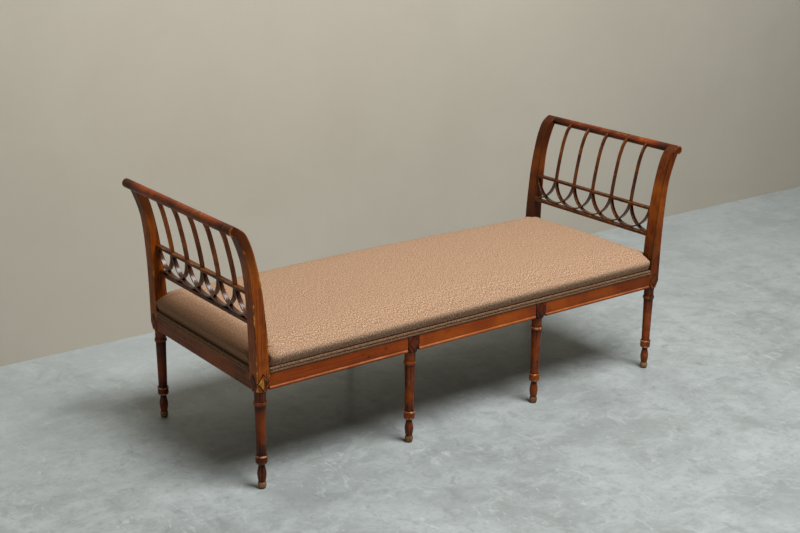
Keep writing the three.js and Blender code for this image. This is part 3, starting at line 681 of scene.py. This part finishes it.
def post_shade_and_chips(side, row):
    """
    Where a post is dark: at its scroll, low down on the right, and with painted shade along its
    inner arrises. The outer arris of the front left post has a few deep chips.
    """
    def field(points, wear_and_shading):
        x, y, height = np.abs(points[:, 0]), points[:, 1], points[:, 2]
        inner = x - np.interp(height, INNER_EDGE[:, 1], INNER_EDGE[:, 0])
        outer = np.interp(height, OUTER_EDGE[:, 1], OUTER_EDGE[:, 0]) - x
        face = np.minimum(HALF_DEPTH - np.abs(y), np.abs(y) - POST_INNER_FACE)
        value = (-0.7 + 0.3 * side) * ramp(height, 690, 880)
        value -= 0.2 * ((height > 868) & (wear_and_shading < 0.5))
        # Painted shade along the inner arrises, where the posts meet the rails and panels
        value -= 1.3 * ((inner < 2.5) & (face < 2)) * ramp(height, 405, 430)
        if side > 0:
            value -= 0.12 + 0.5 * (1 - ramp(height, 430, 680)) + 0.38 * (row > 0)
            handled = ramp(height, 520, 640) * (1 - ramp(height, 800, 870))
            value += 0.6 * ramp(inner, 20, 42) * handled * (y < 2 - HALF_DEPTH)
        else:
            value -= 0.85 * ((wear_and_shading > 0.5) & (height > 600)) + 0.2 * (row > 0)
        if side < 0 and row < 0:
            arris = (outer < 2.5) & (face < 2) & (y < 0)
            for low, high in CHIPPED:
                value += 3 * (arris & (height > low) & (height < high))
            value += 2.2 * ((wear_and_shading > 0.7) & (height > 870) & (x > SCROLL[0] + 6))
            line = (inner > 1) & (inner < 2.6) & (face < 1.2)
            value += 2.4 * line * ramp(height, 440, 480)
        return value
    return field


def lozenge_part(face, facing, centre, gilded=False):
    """
    A raised diamond inside a cut outline. face is 'X' or 'Y' and facing its sign. A gilded one
    keeps its gold on the left facets and a bright arris at its upper right.
    """
    # From the cut outline to the middle: (share of the size, relief, wear)
    levels = [
        (1.18, -0.3, -1), (1.13, 0.08, -1), (1.02, 0.2, -1), (0.96, 0.6, -0.8),
        (0.91, 1.5, 0.5), (0.86, 1.9, 0.4), (0.76, 2.05, 0.1), (0.5, 2.25, 0),
        (0.25, 2.4, 0), (0, 2.45, 0),
    ]
    corners = [(1, 0), (0, 1), (-1, 0), (0, -1)]
    sides = 6
    points, wear_and_shading = [], []
    for share, relief, value in levels:
        for k in range(4 * sides):
            t = k % sides / sides
            a, b = corners[k // sides], corners[(k // sides + 1) % 4]
            u, v = ((a[i] * (1 - t) + b[i] * t) * share for i in (0, 1))
            worn = value
            if gilded and value >= 0:
                arris = 0.86 <= share <= 0.91 and u > 0 and v > 0
                worn = 1 if arris else max(-0.3, min(1.6, 0.5 - 4 * u - 0.6 * v))
            points.append((u * LOZENGE[0], v * LOZENGE[1], relief))
            wear_and_shading.append(worn)
    part = points, np.array(wear_and_shading), ring_faces(4 * sides, len(levels), capped=False)
    x, y, z = centre
    if face == "Y":
        return mapped(part, lambda u, v, w: (x + u, y + facing * w, z + v))
    return mapped(part, lambda u, v, w: (x + facing * w, y + u, z + v))


def chipped(part, centre, width, depth, gilded=False):
    """Cuts the chip-carved facets from the four lower corners of a square leg head."""
    run, rise = CHIP
    for sx in (-1, 1):
        for sy in (-1, 1):
            x, y = centre[0] + sx * width / 2, centre[1] + sy * depth / 2
            top = Vector((x, y, SHOULDER + rise))
            one, two = Vector((x - sx * run, y, SHOULDER)), Vector((x, y - sy * run, SHOULDER))
            normal = (one - top).cross(two - top).normalized()
            if normal.x * sx < 0:
                normal.negate()
            part = cut_flat(part, top, normal, 90 if gilded and sx < 0 and sy < 0 else -0.3)
    return part


def end_post(side, row, gilded):
    part = prism(soften(post_outline(), 1.6, 5), 0, POST_THICKNESS, 1.5, 5, 4)
    low = -HALF_DEPTH if row < 0 else POST_INNER_FACE
    part = mapped(part, lambda u, v, w: (side * u, low + w, v))
    part = shaded(part, post_shade_and_chips(side, row))
    width = POST_OUT - POST_IN
    return chipped(part, (side * CORNER_LEG, row * LEG_ROW), width, POST_THICKNESS, gilded)


def add_posts():
    plain = woods["lozenge_wood"]
    for side, side_name in SIDES:
        for row, row_name in ROWS:
            node = f"post_{row_name}_{side_name}"
            gilded = side < 0 and row < 0
            front_at = (side * CORNER_LEG, row * HALF_DEPTH, LOZENGE_HEIGHT)
            front = lozenge_part("Y", row, front_at, gilded)
            end = lozenge_part("X", side, (side * POST_OUT, row * LEG_ROW, LOZENGE_HEIGHT))
            for suffix, part, material in (
                ("_wood", end_post(side, row, gilded), woods["frame_wood"]),
                ("_lozenge", front, woods["carved_wood"] if gilded else plain),
                ("_end_lozenge", end, plain),
            ):
                build(node, suffix, "frame_wood", material, part)


def add_blocks():
    wood = woods["block_wood"]
    half, back, ledge = BLOCK[0] / 2, HALF_DEPTH - BLOCK[1], RAIL_FACE - LEDGE_DEPTH
    for x, row, node in (
        (-FRONT_LEG, -1, "leg_block_front_left"), (FRONT_LEG, -1, "leg_block_front_right"),
        (REAR_LEG, 1, "leg_block_rear"),
    ):
        square = rectangle(x - half, x + half, SHOULDER, RAIL_LEDGE)
        part = prism(soften(square, 1.2, 4), 0, BLOCK[1], 1.2, 4, 2)
        low = -HALF_DEPTH if row < 0 else back
        part = mapped(part, lambda u, v, w: (u, low + w, v))
        part = chipped(part, (x, row * LEG_ROW), *BLOCK)
        upper = rectangle(x - half, x + half, LOZENGE_HEIGHT, RAIL_TOP)
        top = prism(soften(upper, 0.8, 3), 0, ledge - back, 0.8, 3)
        top_low = -ledge if row < 0 else back
        top = mapped(top, lambda u, v, w: (u, top_low + w, v))
        build(node, "_wood", "leg_wood", wood, part, top)
        carved = lozenge_part("Y", row, (x, row * HALF_DEPTH, LOZENGE_HEIGHT))
        build(node, "_lozenge", "leg_wood", wood, carved)


# Turned legs: (radius, height, wear). The third column also holds painted highlights on the rings
# and painted shade in the necks and under the collars
FOOT_PROFILE = [
    (0, 0, -1), (8.6, 0, -1), (10.6, 0.7, -0.8), (12.4, 3, -0.2), (13.8, 7, 0.3),
    (14.5, 12, 0.5), (14.4, 16.5, 0.5), (13.7, 20, 0.7), (12.6, 22.6, 0.5),
    (11.6, 24.2, -0.8), (0, 24.6, 0),
]
LEG_PROFILE = [
    (0, 24, 0), (11.5, 24.2, -1), (11.5, 25.6, -0.7), (12.2, 27.4, 0.2),
    (13, 31, 0.3), (14.2, 38, 0.2), (15, 45.5, 0.3), (15.4, 52, 0.4),
    (15, 58, 0.3), (14, 64.5, 0.1), (12.5, 71, 0), (11.2, 77, -0.3),
    (10.5, 81.5, -0.8), (10.7, 84.2, -0.9), (12, 85.6, -0.6), (14.6, 87.4, 0),
    (17.4, 89.6, 0.5), (19, 92, 0.9), (19.4, 94.4, 0.6), (19.5, 98, 0),
    (19.4, 106, 0), (19.4, 111.6, 0), (19.7, 113.2, 0.5), (20.2, 114.4, 1),
    (20.3, 116.2, 1), (19.9, 117.8, 1), (18.6, 118.8, 0.4), (16.6, 119.6, -0.8),
    (15.9, 121.2, -0.9), (15.8, 124, -0.3), (16.1, 150, 0.05), (16.7, 190, 0.1),
    (17.3, 230, 0.1), (18, 265, 0.05), (18.5, 285, -0.3), (18.7, 291.2, -0.8),
    (19.6, 292.6, -0.4), (21.3, 294.8, 0), (22.1, 297.6, 0.1), (22.3, 301, 0.8),
    (21.7, 304.2, 1), (20.4, 306.6, -0.2), (19.4, 308.6, -0.8), (19.2, 311, -0.4),
    (19.2, 328, -0.15), (19.5, 333, -0.3), (20.4, 336.6, 0), (20.5, 339.6, -0.1),
    (20.5, 341.7, -0.5), (0, 341.7, 0),
]
LEG_HEAD = 306
# Where each leg stands, and how much painted shade darkens it
LEGS = {
    "leg_front_left": (-CORNER_LEG, -LEG_ROW, 0.44), "leg_front_right": (CORNER_LEG, -LEG_ROW, 0),
    "leg_rear_left": (-CORNER_LEG, LEG_ROW, 0.42), "leg_rear_right": (CORNER_LEG, LEG_ROW, 0.3),
    "leg_front_left_middle": (-FRONT_LEG, -LEG_ROW, 0),
    "leg_front_right_middle": (FRONT_LEG, -LEG_ROW, 0),
    "leg_rear_middle": (REAR_LEG, LEG_ROW, 0.5),
}


def add_legs():
    for node, (x, y, dirt_and_shade) in LEGS.items():
        # Painted shade, lighter on the head and left off the brightest rings
        def leg_shade(points, wear_and_shading):
            return -dirt_and_shade * (wear_and_shading < 0.7) * (1 - 0.8 * (points[:, 2] > LEG_HEAD))

        for suffix, wood, profile in (
            ("_foot", "foot_wood", FOOT_PROFILE), ("_wood", "leg_wood", LEG_PROFILE),
        ):
            part = mapped(lathe(profile), lambda u, v, w: (x + u, y + v, w))
            build(node, suffix, "leg_wood", woods[wood], shaded(part, leg_shade))


# Rails

def bead_points(face):
    points = []
    for k in range(9):
        angle = math.pi * k / 8
        height = RAIL_BOTTOM + BEAD_HEIGHT / 2 * (1 - math.cos(angle))
        points.append((face + BEAD_OUT * math.sin(angle), height))
    # The bead's upper shoulder is worn and carries a painted highlight, and its underside and its
    # top under the groove carry painted shade
    return points, [-0.7, -0.4, -0.15, 0, 0.1, 0.7, 1, 0.9, -0.8]


def rail_part(face, start, end, beaded):
    ledge, back = face - LEDGE_DEPTH, face - RAIL_THICKNESS
    points, wear_and_shading = [(face, RAIL_BOTTOM)], [0]
    if beaded:
        points, wear_and_shading = bead_points(face)
        quirk = RAIL_BOTTOM + BEAD_HEIGHT
        points += [(face - QUIRK_DEPTH, quirk + QUIRK_FLOOR), (face, quirk + QUIRK_HEIGHT)]
        # The groove over the bead gets painted shade
        wear_and_shading += [-1, 0]
    # Painted shade darkens the face upwards, towards the overhanging welt
    points += [(face, height) for height in (*RAIL_SHADE_HEIGHTS, RAIL_LEDGE)]
    points += [(ledge, RAIL_LEDGE), (ledge, RAIL_TOP), (back, RAIL_TOP), (back, RAIL_BOTTOM)]
    wear_and_shading += [0, -0.08, -0.4, -0.5, 0, 0, 0, 0]
    softened = soften(points, 0.9, 2, wear_and_shading, 50)
    return prism(softened, start, end, 0.5, 2, max(4, int((end - start) / 60)))


def rail_darkening(points, wear_and_shading):
    """The right part of a rail and its ends are darker."""
    x = points[:, 0]
    value = -0.3 * ramp(x, 100, 800) - 0.25 * ramp(np.abs(x), 835, 866)
    return np.where(wear_and_shading > 0.5, value * 0.5, value)


def add_rails():
    half = BLOCK[0] / 2
    for node, start, end, row in (
        ("rail_front_left", -POST_IN, -FRONT_LEG - half, -1),
        ("rail_front_centre", -FRONT_LEG + half, FRONT_LEG - half, -1),
        ("rail_front_right", FRONT_LEG + half, POST_IN, -1),
        ("rail_rear_left", -POST_IN, REAR_LEG - half, 1),
        ("rail_rear_right", REAR_LEG + half, POST_IN, 1),
    ):
        part = rail_part(RAIL_FACE, start + GAP, end - GAP, True)
        part = shaded(mapped(part, lambda u, v, w: (w, row * u, v)), rail_darkening)
        build(node, "_wood", "rail_wood", woods["rail_wood"], part)
    reach = POST_INNER_FACE - GAP
    for side, name in SIDES:
        part = rail_part(END_RAIL_FACE, -reach, reach, False)
        part = mapped(part, lambda u, v, w: (side * u, w, v))
        build(f"rail_end_{name}", "_wood", "rail_wood", woods["end_rail_wood"], part)


# End panels

def bar_part(side, y):
    """A thin curved bar from inside the middle rail to inside the crest roll."""
    path = INNER_EDGE + directions(INNER_EDGE)[1] * PANEL_INSET
    above = path[:, 1] > MIDDLE_RAIL[0] + MIDDLE_RAIL[1] / 2 - BAR_TONGUES[0]
    from_roll = np.hypot(path[:, 0] - SCROLL[0], path[:, 1] - SCROLL[1])
    outside = from_roll > SCROLL_RADIUS - BAR_TONGUES[1]
    part = sweep(path[above & outside], BAR[1], BAR[0], 0.8, 1.9)
    return mapped(part, lambda u, v, w: (side * u, y + w, v))


def arc_part(side, junction):
    """A bent strip that hangs from the middle rail, crosses its neighbours and meets the lower."""
    bottom = LOWER_RAIL[0] + LOWER_RAIL[1] / 2 + GAP + ARC[0] / 2
    top = MIDDLE_RAIL[0] - MIDDLE_RAIL[1] / 2 + ARC_HOUSING
    span, rise = PITCH - ARC[0] / 2 - GAP, top - bottom
    radius = (span**2 + rise**2) / (2 * rise)
    centre = bottom + radius
    y = -POST_INNER_FACE + junction * PITCH
    reach, start = math.acos((centre - top) / radius), math.asin(GAP / radius)
    a = -reach if junction > 0 else start
    b = reach if junction < BAYS else -start
    steps = 40 if 0 < junction < BAYS else 20
    angles = [a + (b - a) * k / steps for k in range(steps + 1)]
    path = [(radius * math.sin(t), centre - radius * math.cos(t)) for t in angles]
    part = sweep(path, ARC[0], ARC[1] - (ARC_STEP if junction % 2 else 0), 0.6, 1.5)
    return mapped(part, lambda u, v, w: (side * (panel_reach(v) + w), y + u, v))


def panel_rail_part(side, height, depth):
    x, half, reach = panel_reach(height), PANEL_RAIL_WIDTH / 2, POST_INNER_FACE - GAP
    square = rectangle(x - half, x + half, height - depth / 2, height + depth / 2)
    part = prism(soften(square, 1, 2.5), -reach, reach, 0.4, 2.5, 12)
    return mapped(part, lambda u, v, w: (side * u, w, v))


def crest_part(side):
    """The round crest roll, a little flattened by wear."""
    segments, steps = 40, 40
    length = POST_INNER_FACE - GAP
    rings = [(-length, CREST_END_SHARE), (-length + CREST_END, 1)]
    rings += [(-length + 2 * length * k / steps, 1) for k in range(1, steps)]
    rings += [(length - CREST_END, 1), (length, CREST_END_SHARE)]
    points, wear_and_shading = [], []
    for y, share in rings:
        near_end = max(0, 1 - (length - abs(y)) / CREST_DIRT)
        for angle in turns(segments):
            across, up = math.cos(angle), math.sin(angle)
            worn_off = 0.006 * (1 + noise.noise(Vector((y * 0.02, across, side))))
            radius = SCROLL_RADIUS * share * (1 - worn_off)
            points.append((side * SCROLL[0] + radius * across, y, SCROLL[1] + radius * up))
            # The underside carries painted shade
            shine, painted_shade_below = 0.3 * max(0, up), -0.7 * max(0, -up)
            wear_and_shading.append(shine * (1 - near_end) + painted_shade_below - 0.75 * near_end)
    return np.array(points), np.array(wear_and_shading), ring_faces(segments, len(rings))


def add_panels():
    for side, name in SIDES:
        crest = crest_part(side)
        build(f"crest_rail_{name}", "_wood", "crest_wood", woods["crest_wood"], crest)
        made = [
            (f"panel_middle_rail_{name}", panel_rail_part(side, *MIDDLE_RAIL), "panel_wood"),
            (f"panel_lower_rail_{name}", panel_rail_part(side, *LOWER_RAIL), "panel_wood"),
        ]
        for k in range(1, BAYS):
            bar = bar_part(side, -POST_INNER_FACE + k * PITCH)
            made.append((f"panel_bar_{name}_{k}", bar, "bar_wood"))
        for k in range(BAYS + 1):
            made.append((f"panel_arc_{name}_{k + 1}", arc_part(side, k), "arc_wood"))
        for node, part, wood in made:
            build(node, "_wood", "panel_wood", woods[wood], part)


# Seat

# The sewn edge and the lower wall before the cover is filled: (inset, height)
SEAT_SIDE = [
    (12, 415), (6.4, 417.5), (5.4, 421), (3.6, 427), (1.6, 433), (-0.4, 439),
    (-1.6, 445),
]
# The wall of the filled cover: (height, inset)
SEAT_WALL_PROFILE = [
    (422, 7.2), (426, 6.4), (430, 5.2), (434, 3.4), (438, 1.4), (442, -0.5),
    (446, -1.8), (450, -2.3), (454, -1.8), (458, -0.4), (462, 2), (466, 5.4),
    (470, 10),
]
SEAT_WALL = 450
# The rounded upper edge: how high it is at the ends, how much more in the middle, how deep
SEAT_ROUND = (36, 8, 85)
SEAT_BELLY = 600
SEAT_POWER = 2.1
SEAT_CROWN = 12
# Heights, in metres: the cover is sewn down below the first, and its swelling grows from the
# second to the third
SEWN, HELD, FREE = 0.4225, 0.425, 0.46
# The voxel of the remesh and how far the cover may swell, in metres
VOXEL, SWELL = 0.0075, 0.007
# Half the length and half the width of the long cap in the middle
CAP = (760, 60)
# The heights over which drawing in begins and ends
DRAW_START, DRAW_STOP = (416, 421), (456, 472)
FLAT_TOP = 470
# The radius of the cover's corners, the smallest radius, and the smallest step at a post
CORNER_TURN, LEAST_TURN, LEAST_STEP = 4, 0.3, 0.8


def rounded(x, y, radius, pieces=5):
    angles = [math.pi / 2 * (1 - k / pieces) for k in range(pieces + 1)]
    return [(x + radius * (math.cos(t) - 1), y + radius * (math.sin(t) - 1)) for t in angles]


def seat_quarter(inset):
    front, end = PAD_FRONT - inset, PAD_END - inset
    notch_x, notch_y = min(PAD_NOTCH[0], end - LEAST_STEP), min(PAD_NOTCH[1], front - LEAST_STEP)
    widest = 0.45 * min(front - notch_y, end - notch_x)
    radius = max(LEAST_TURN, min(CORNER_TURN, widest))
    points = [((notch_x - radius) * k / 12, front) for k in range(12)]
    points += [*rounded(notch_x, front, radius), (notch_x, notch_y)]
    points += rounded(end, notch_y, radius)
    points += [(end, (notch_y - radius) * k / 5) for k in range(4, -1, -1)]
    return points


def seat_outline(inset):
    quarter = seat_quarter(inset)
    last = len(quarter) - 1
    loop = quarter + [(x, -y) for x, y in quarter[:last][::-1]]
    loop += [(-x, -y) for x, y in quarter[1:]]
    return np.array(loop + [(-x, y) for x, y in quarter[1:last][::-1]])


def seat_height(points):
    """
    The rounded upper edge and the crown. Beside the posts the edge runs on as if they weren't
    there.
    """
    height, middle, depth = SEAT_ROUND
    x, y = np.abs(points[:, 0]), np.abs(points[:, 1])
    short = np.maximum(0, depth - np.column_stack([PAD_END - x, PAD_FRONT - y]))
    outward = np.minimum(np.max(short, axis=1) / depth, 1)
    height = height + middle * (1 - np.minimum(x / SEAT_BELLY, 1) ** 2)
    around = height * (1 - outward**SEAT_POWER) ** (1 / SEAT_POWER)
    across, along = 1 - (y / PAD_FRONT) ** 2, 1 - np.minimum(x / PAD_END, 1) ** 6
    return SEAT_WALL + around + SEAT_CROWN * across * along


def seat_rings():
    """
    Closed loops from the sewn edge at the welt, up the swelling wall and over the rounded top
    edge.
    """
    rings = []
    for inset, height in SEAT_SIDE:
        outline = seat_outline(inset)
        rings.append(np.column_stack([outline, np.full(len(outline), height)]))
    shares = (0.02, 0.06, 0.11, 0.18, 0.27, 0.38, 0.52, 0.66, 0.83, 1)
    upper = [seat_outline(SEAT_ROUND[2] * share) for share in shares]
    edge = upper[-1]
    spine = np.column_stack([np.clip(edge[:, 0], -500, 500), np.zeros(len(edge))])
    upper += [edge * (1 - share) + spine * share for share in (0.2, 0.4, 0.6, 0.8, 0.95)]
    return rings + [np.column_stack([flat, seat_height(flat)]) for flat in upper]


def evaluated(piece):
    return piece.evaluated_get(bpy.context.evaluated_depsgraph_get())


def remeshed(mesh, voxel):
    """A new mesh with even faces over the same surface."""
    temporary = linked("seat_remesh", mesh)
    modifier = temporary.modifiers.new("remesh", "REMESH")
    modifier.mode = "VOXEL"
    modifier.voxel_size = voxel
    made = bpy.data.meshes.new_from_object(evaluated(temporary))
    bpy.data.objects.remove(temporary)
    return made


def read_points(mesh):
    flat = np.zeros(len(mesh.vertices) * 3)
    mesh.vertices.foreach_get("co", flat)
    return flat.reshape(-1, 3)


def write_points(mesh, points):
    mesh.vertices.foreach_set("co", np.asarray(points, np.float32).ravel())
    mesh.update()


def fill_cover(piece, most):
    """
    Lets the cover swell over its stuffing like stretched cloth. It is held along its sewn edge
    and pressed flat where it meets the posts.
    """
    mesh = piece.data
    rest = read_points(mesh)
    held = piece.vertex_groups.new(name="held")
    held.add([int(i) for i in np.nonzero(rest[:, 2] < SEWN)[0]], 1, "REPLACE")
    modifier = piece.modifiers.new("cloth", "CLOTH")
    for key, value in {
        "quality": 5, "mass": 0.3, "tension_stiffness": 25, "compression_stiffness": 12,
        "shear_stiffness": 12, "bending_stiffness": 2, "use_pressure": True,
        "uniform_pressure_force": 4, "vertex_group_mass": "held",
    }.items():
        setattr(modifier.settings, key, value)
    modifier.settings.effector_weights.gravity = 0
    modifier.collision_settings.use_self_collision = False
    scene = bpy.context.scene
    for number in range(1, 21):
        scene.frame_set(number)
    moved = read_points(evaluated(piece).to_mesh())
    piece.modifiers.remove(modifier)
    piece.vertex_groups.remove(held)
    scene.frame_set(1)
    step = moved - rest
    size = np.maximum(np.linalg.norm(step, axis=1), 1e-9)
    allowed = most * (0.15 + 0.85 * ramp(rest[:, 2], HELD, FREE))
    capped = allowed * np.tanh(size / allowed)
    points = rest + step * (capped / size)[:, None]
    into_x, into_y = (np.abs(points[:, axis]) - PAD_NOTCH[axis] * MM for axis in (0, 1))
    inside = (into_x > 0) & (into_y > 0)
    by_x = inside & (into_x < into_y)
    by_y = inside & ~by_x
    for axis, into, where in ((0, into_x, by_x), (1, into_y, by_y)):
        points[where, axis] -= (np.sign(points[:, axis]) * into)[where]
    write_points(mesh, points)


def draw_in(mesh):
    """
    Draws the filled cover in above the welt and lets it stand out just below its top edge, as a
    sewn cover does. The posts and the crown stay out of it.
    """
    points = read_points(mesh) / MM
    levels, wanted = np.array(SEAT_WALL_PROFILE).T
    for axis, edge, notch in ((1, PAD_FRONT, PAD_NOTCH[0]), (0, PAD_END, PAD_NOTCH[1])):
        along, height = np.abs(points[:, 1 - axis]), points[:, 2]
        inset = edge - np.abs(points[:, axis])
        now = []
        for level in levels:
            near = (inset < 40) & (along < notch - 60) & (np.abs(height - level) < 2.5)
            now.append(np.median(inset[near]))
        step = np.interp(height, levels, now - wanted)
        share = ramp(height, *DRAW_START) * (1 - ramp(height, *DRAW_STOP))
        share *= (1 - ramp(inset, 25, 45)) * ramp(notch - along, 0, 8)
        points[:, axis] += np.sign(points[:, axis]) * step * share
    write_points(mesh, points * MM)


def set_cloth(mesh, places):
    made = mesh.attributes.new("cloth", "FLOAT_VECTOR", "POINT")
    made.data.foreach_set("vector", places.astype(np.float32).ravel())


def cloth_map(mesh):
    """Where each point lies on the flat cloth. The walls are unrolled outwards from the top."""
    x, y, height = (read_points(mesh) / MM).T
    drop = np.maximum(0, FLAT_TOP - height)
    front = PAD_FRONT - np.abs(y) < PAD_END - np.abs(x)
    u = x + np.where(front, 0, np.sign(x) * drop)
    v = y + np.where(front, np.sign(y) * drop, 0)
    set_cloth(mesh, np.column_stack([u, v, np.zeros(len(u))]) * MM)


def add_seat():
    rings = seat_rings()
    faces = ring_faces(len(rings[0]), len(rings))
    mesh = shell("seat_cover", np.concatenate(rings) * MM, faces)
    face_outwards(mesh)
    mesh = remeshed(mesh, VOXEL)
    # The remesh is uneven over the long cap in the middle
    even = read_points(mesh) / MM
    x, y = np.abs(even[:, 0]), np.abs(even[:, 1])
    crown = (x < CAP[0]) & (y < CAP[1]) & (even[:, 2] > SEAT_WALL)
    even[crown, 2] = seat_height(even[crown])
    write_points(mesh, even * MM)
    piece = linked("seat_cover", mesh)
    fill_cover(piece, SWELL)
    smooth = piece.modifiers.new("smooth", "SUBSURF")
    smooth.levels = smooth.render_levels = 1
    fine = bpy.data.meshes.new_from_object(evaluated(piece))
    piece.modifiers.remove(smooth)
    piece.data = fine
    fine.name = "seat_cover_mesh"
    draw_in(fine)
    fine.shade_smooth()
    fine.materials.clear()
    fine.materials.append(cloth)
    cloth_map(fine)
    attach(piece, "root")
    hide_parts("seat_pad")


def welt_part(length, phase):
    """
    Two covered cords side by side, from end to end of one run, as (along, out, up), and where
    each point lies on the flat cloth.
    """
    sides, steps = 14, max(20, int(length / 12))
    points, faces, flat = [], [], []
    for cord in range(2):
        faces += ring_faces(sides, steps + 1, len(points))
        height = RAIL_LEDGE + GAP + CORD_RADIUS + cord * CORD_RADIUS * 1.92
        for step in range(steps + 1):
            along = -length / 2 + length * step / steps
            swell = 1 + 0.03 * noise.noise(Vector((along * 0.03, cord * 5, phase)))
            wander = 0.35 * noise.noise(Vector((along * 0.012, 9 + cord, phase)))
            radius = CORD_RADIUS * swell
            for angle in turns(sides):
                out = -1.4 + wander + radius * math.cos(angle)
                points.append((along, out, height + radius * math.sin(angle)))
                flat.append((along * MM, (height + radius * angle) * MM, 0))
    return (np.array(points), np.zeros(len(points)), faces), np.array(flat)


def add_welts():
    long, short = 2 * PAD_NOTCH[0], 2 * PAD_NOTCH[1]
    runs = (
        ("cord_edging_front", long, lambda a, o, h: (a, -RAIL_FACE - o, h)),
        ("cord_edging_rear", long, lambda a, o, h: (a, RAIL_FACE + o, h)),
        ("cord_edging_left", short, lambda a, o, h: (-END_RAIL_FACE - o, a, h)),
        ("cord_edging_right", short, lambda a, o, h: (END_RAIL_FACE + o, a, h)),
    )
    for phase, (node, length, place) in enumerate(runs):
        part, flat = welt_part(length, float(phase))
        piece = build(node, "_welt", "cord_cloth", cord_cloth, mapped(part, place))
        set_cloth(piece.data, flat)


# Stage

BACKDROP = linear(174, 170, 158)
# The floor and the wall turn into the plain backdrop between these distances, in metres
FADE = (3.2, 4.5)
FADE_SHIFT = (-1, 0.2, 0)
FLOOR_REACH = 14
WALL_BACK, WALL_TOP = 1.146, 7


def stage_material(name, one, two, scale, rough, shine):
    """
    Worn paint. The wall has painted shade towards the left and is clear from behind, and the
    floor is stained and scuffed, with painted light that grows towards the wall.
    """
    g = Graph(bpy.data.materials.new(name))
    one, two = surface(*one), surface(*two)
    space = g.place()
    broad = g.noise(space, scale, 6, 0.62, 0.6)
    fine = g.noise(space, scale * 6, 5, 0.65, 0.3)
    color = g.over(one, (two, broad, 0.25, 0.75), (one, fine, 0.42, 0.7, 0.6))
    x, y, _ = g.node("SeparateXYZ", {0: space}).outputs
    standing = name == "wall_paint"
    if standing:
        # Painted shade that darkens the wall towards the left
        color = g.mix(g.span(x, -3.4, -0.2, 0.32, 0), color, (0, 0, 0, 1))
    else:
        worn = g.noise(g.place((1, 1.8, 1)), 5.5, 10, 0.78, 0.8)
        stain = g.noise(g.place((1.3, 1, 1), (2, 5, 0)), 7, 8, 0.75, 0.6)
        grit = g.noise(space, 44, 6, 0.8)
        scuffs = g.noise(g.place((20, 8, 1), (3, 1, 0)), 1, 6, 0.75, 1.5)
        # Stains, grit and scuffs, and painted light that grows towards the wall
        color = g.over(
            color, (two, worn, 0.48, 0.64, 0.6), (scaled(one, 0.8), stain, 0.53, 0.66, 0.5),
            (scaled(one, 0.74), grit, 0.5, 0.7, 0.5),
            (scaled(two, 1.16), scuffs, 0.57, 0.68, 0.6), (scaled(two, 1.3), y, -0.3, 1, 0.3),
        )
    material = g.shade(color, rough, g.bump(fine, 0.05, 0.002), Specular_IOR_Level=shine)
    level = g.place((1, 1, 0), FADE_SHIFT)
    apart = g.node("VectorMath", {0: level}, operation="LENGTH").outputs["Value"]
    seen = g.node("LightPath").outputs["Is Camera Ray"]
    pale = g.node("Emission", {"Color": BACKDROP}).outputs[0]
    g.overlay(g.times(g.span(apart, *FADE), seen), pale)
    if standing:
        behind = g.node("NewGeometry").outputs["Backfacing"]
        g.overlay(behind, g.node("BsdfTransparent").outputs[0])
    return material


def flat_piece(name, corners, material):
    mesh = shell(name, np.array(corners, float), [(0, 1, 2, 3)])
    mesh.materials.append(material)
    piece = linked(name, mesh)


def area_light(name, position, target, size, power, color):
    light = bpy.data.lights.new(name, "AREA")
    light.shape = "DISK"
    light.size = size
    light.energy = power
    light.color = color
    lamp = linked(name, light)
    lamp.location = position
    lamp.rotation_mode = "QUATERNION"
    lamp.rotation_quaternion = (Vector(target) - Vector(position)).to_track_quat("-Z", "Y")


def add_world():
    g = Graph(bpy.data.worlds.new("studio"), "OutputWorld")
    light = g.node("Background", {"Color": linear(244, 238, 226), "Strength": 0.02})
    g.set(g.out, light.outputs[0])
    seen = g.node("Background", {"Color": BACKDROP}).outputs[0]
    g.overlay(g.node("LightPath").outputs["Is Camera Ray"], seen)
    bpy.context.scene.world = g.owner


def add_stage():
    floor = stage_material("floor_paint", (154, 161, 161), (189, 197, 198), 2.2, 0.3, 0.07)
    wall = stage_material("wall_paint", (200, 193, 178), (208, 202, 187), 0.5, 0.9, 0.3)
    far = FLOOR_REACH
    flat_piece("floor", [(x, y, 0) for x, y in rectangle(-far, far, -far, far)], floor)
    flat_piece("wall", [(x, WALL_BACK, z) for x, z in rectangle(-far, far, 0, WALL_TOP)], wall)
    add_world()
    area_light("key", (0.4, -2.6, 5.5), (0, 0, 0.3), 3.1, 468, (1, 0.99, 0.97))
    area_light("fill", (-5.2, -1.8, 0.6), (-0.6, 0, 0.5), 2, 27, (1, 0.97, 0.91))


# The view: azimuth, elevation and roll in degrees, place in metres, lens and sensor in mm
VIEW_ANGLES = (-36.96, 17.88, 0.608)
VIEW_PLACE = (-2.8551, -3.6859, 2.0025)
LENS, SENSOR = 59.33, 36


def add_camera():
    azimuth, elevation, roll = (math.radians(angle) for angle in VIEW_ANGLES)
    camera = bpy.data.cameras.new("photo_view")
    camera.sensor_width, camera.lens = SENSOR, LENS
    holder = linked("photo_view", camera)
    holder.matrix_world = (
        Matrix.Translation(VIEW_PLACE) @ Matrix.Rotation(azimuth, 4, "Z")
        @ Matrix.Rotation(math.pi / 2 - elevation, 4, "X") @ Matrix.Rotation(roll, 4, "Z")
    )
    bpy.context.scene.camera = holder


add_camera()
add_posts()
add_blocks()
add_legs()
add_rails()
add_panels()
add_seat()
add_welts()
for name in ("stretcher_left", "stretcher_right"):
    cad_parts[name].data.materials[0] = inner_wood
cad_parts["seat_webbing"].data.materials[0] = webbing
add_stage()
bpy.context.scene.view_settings.view_transform = "Standard"
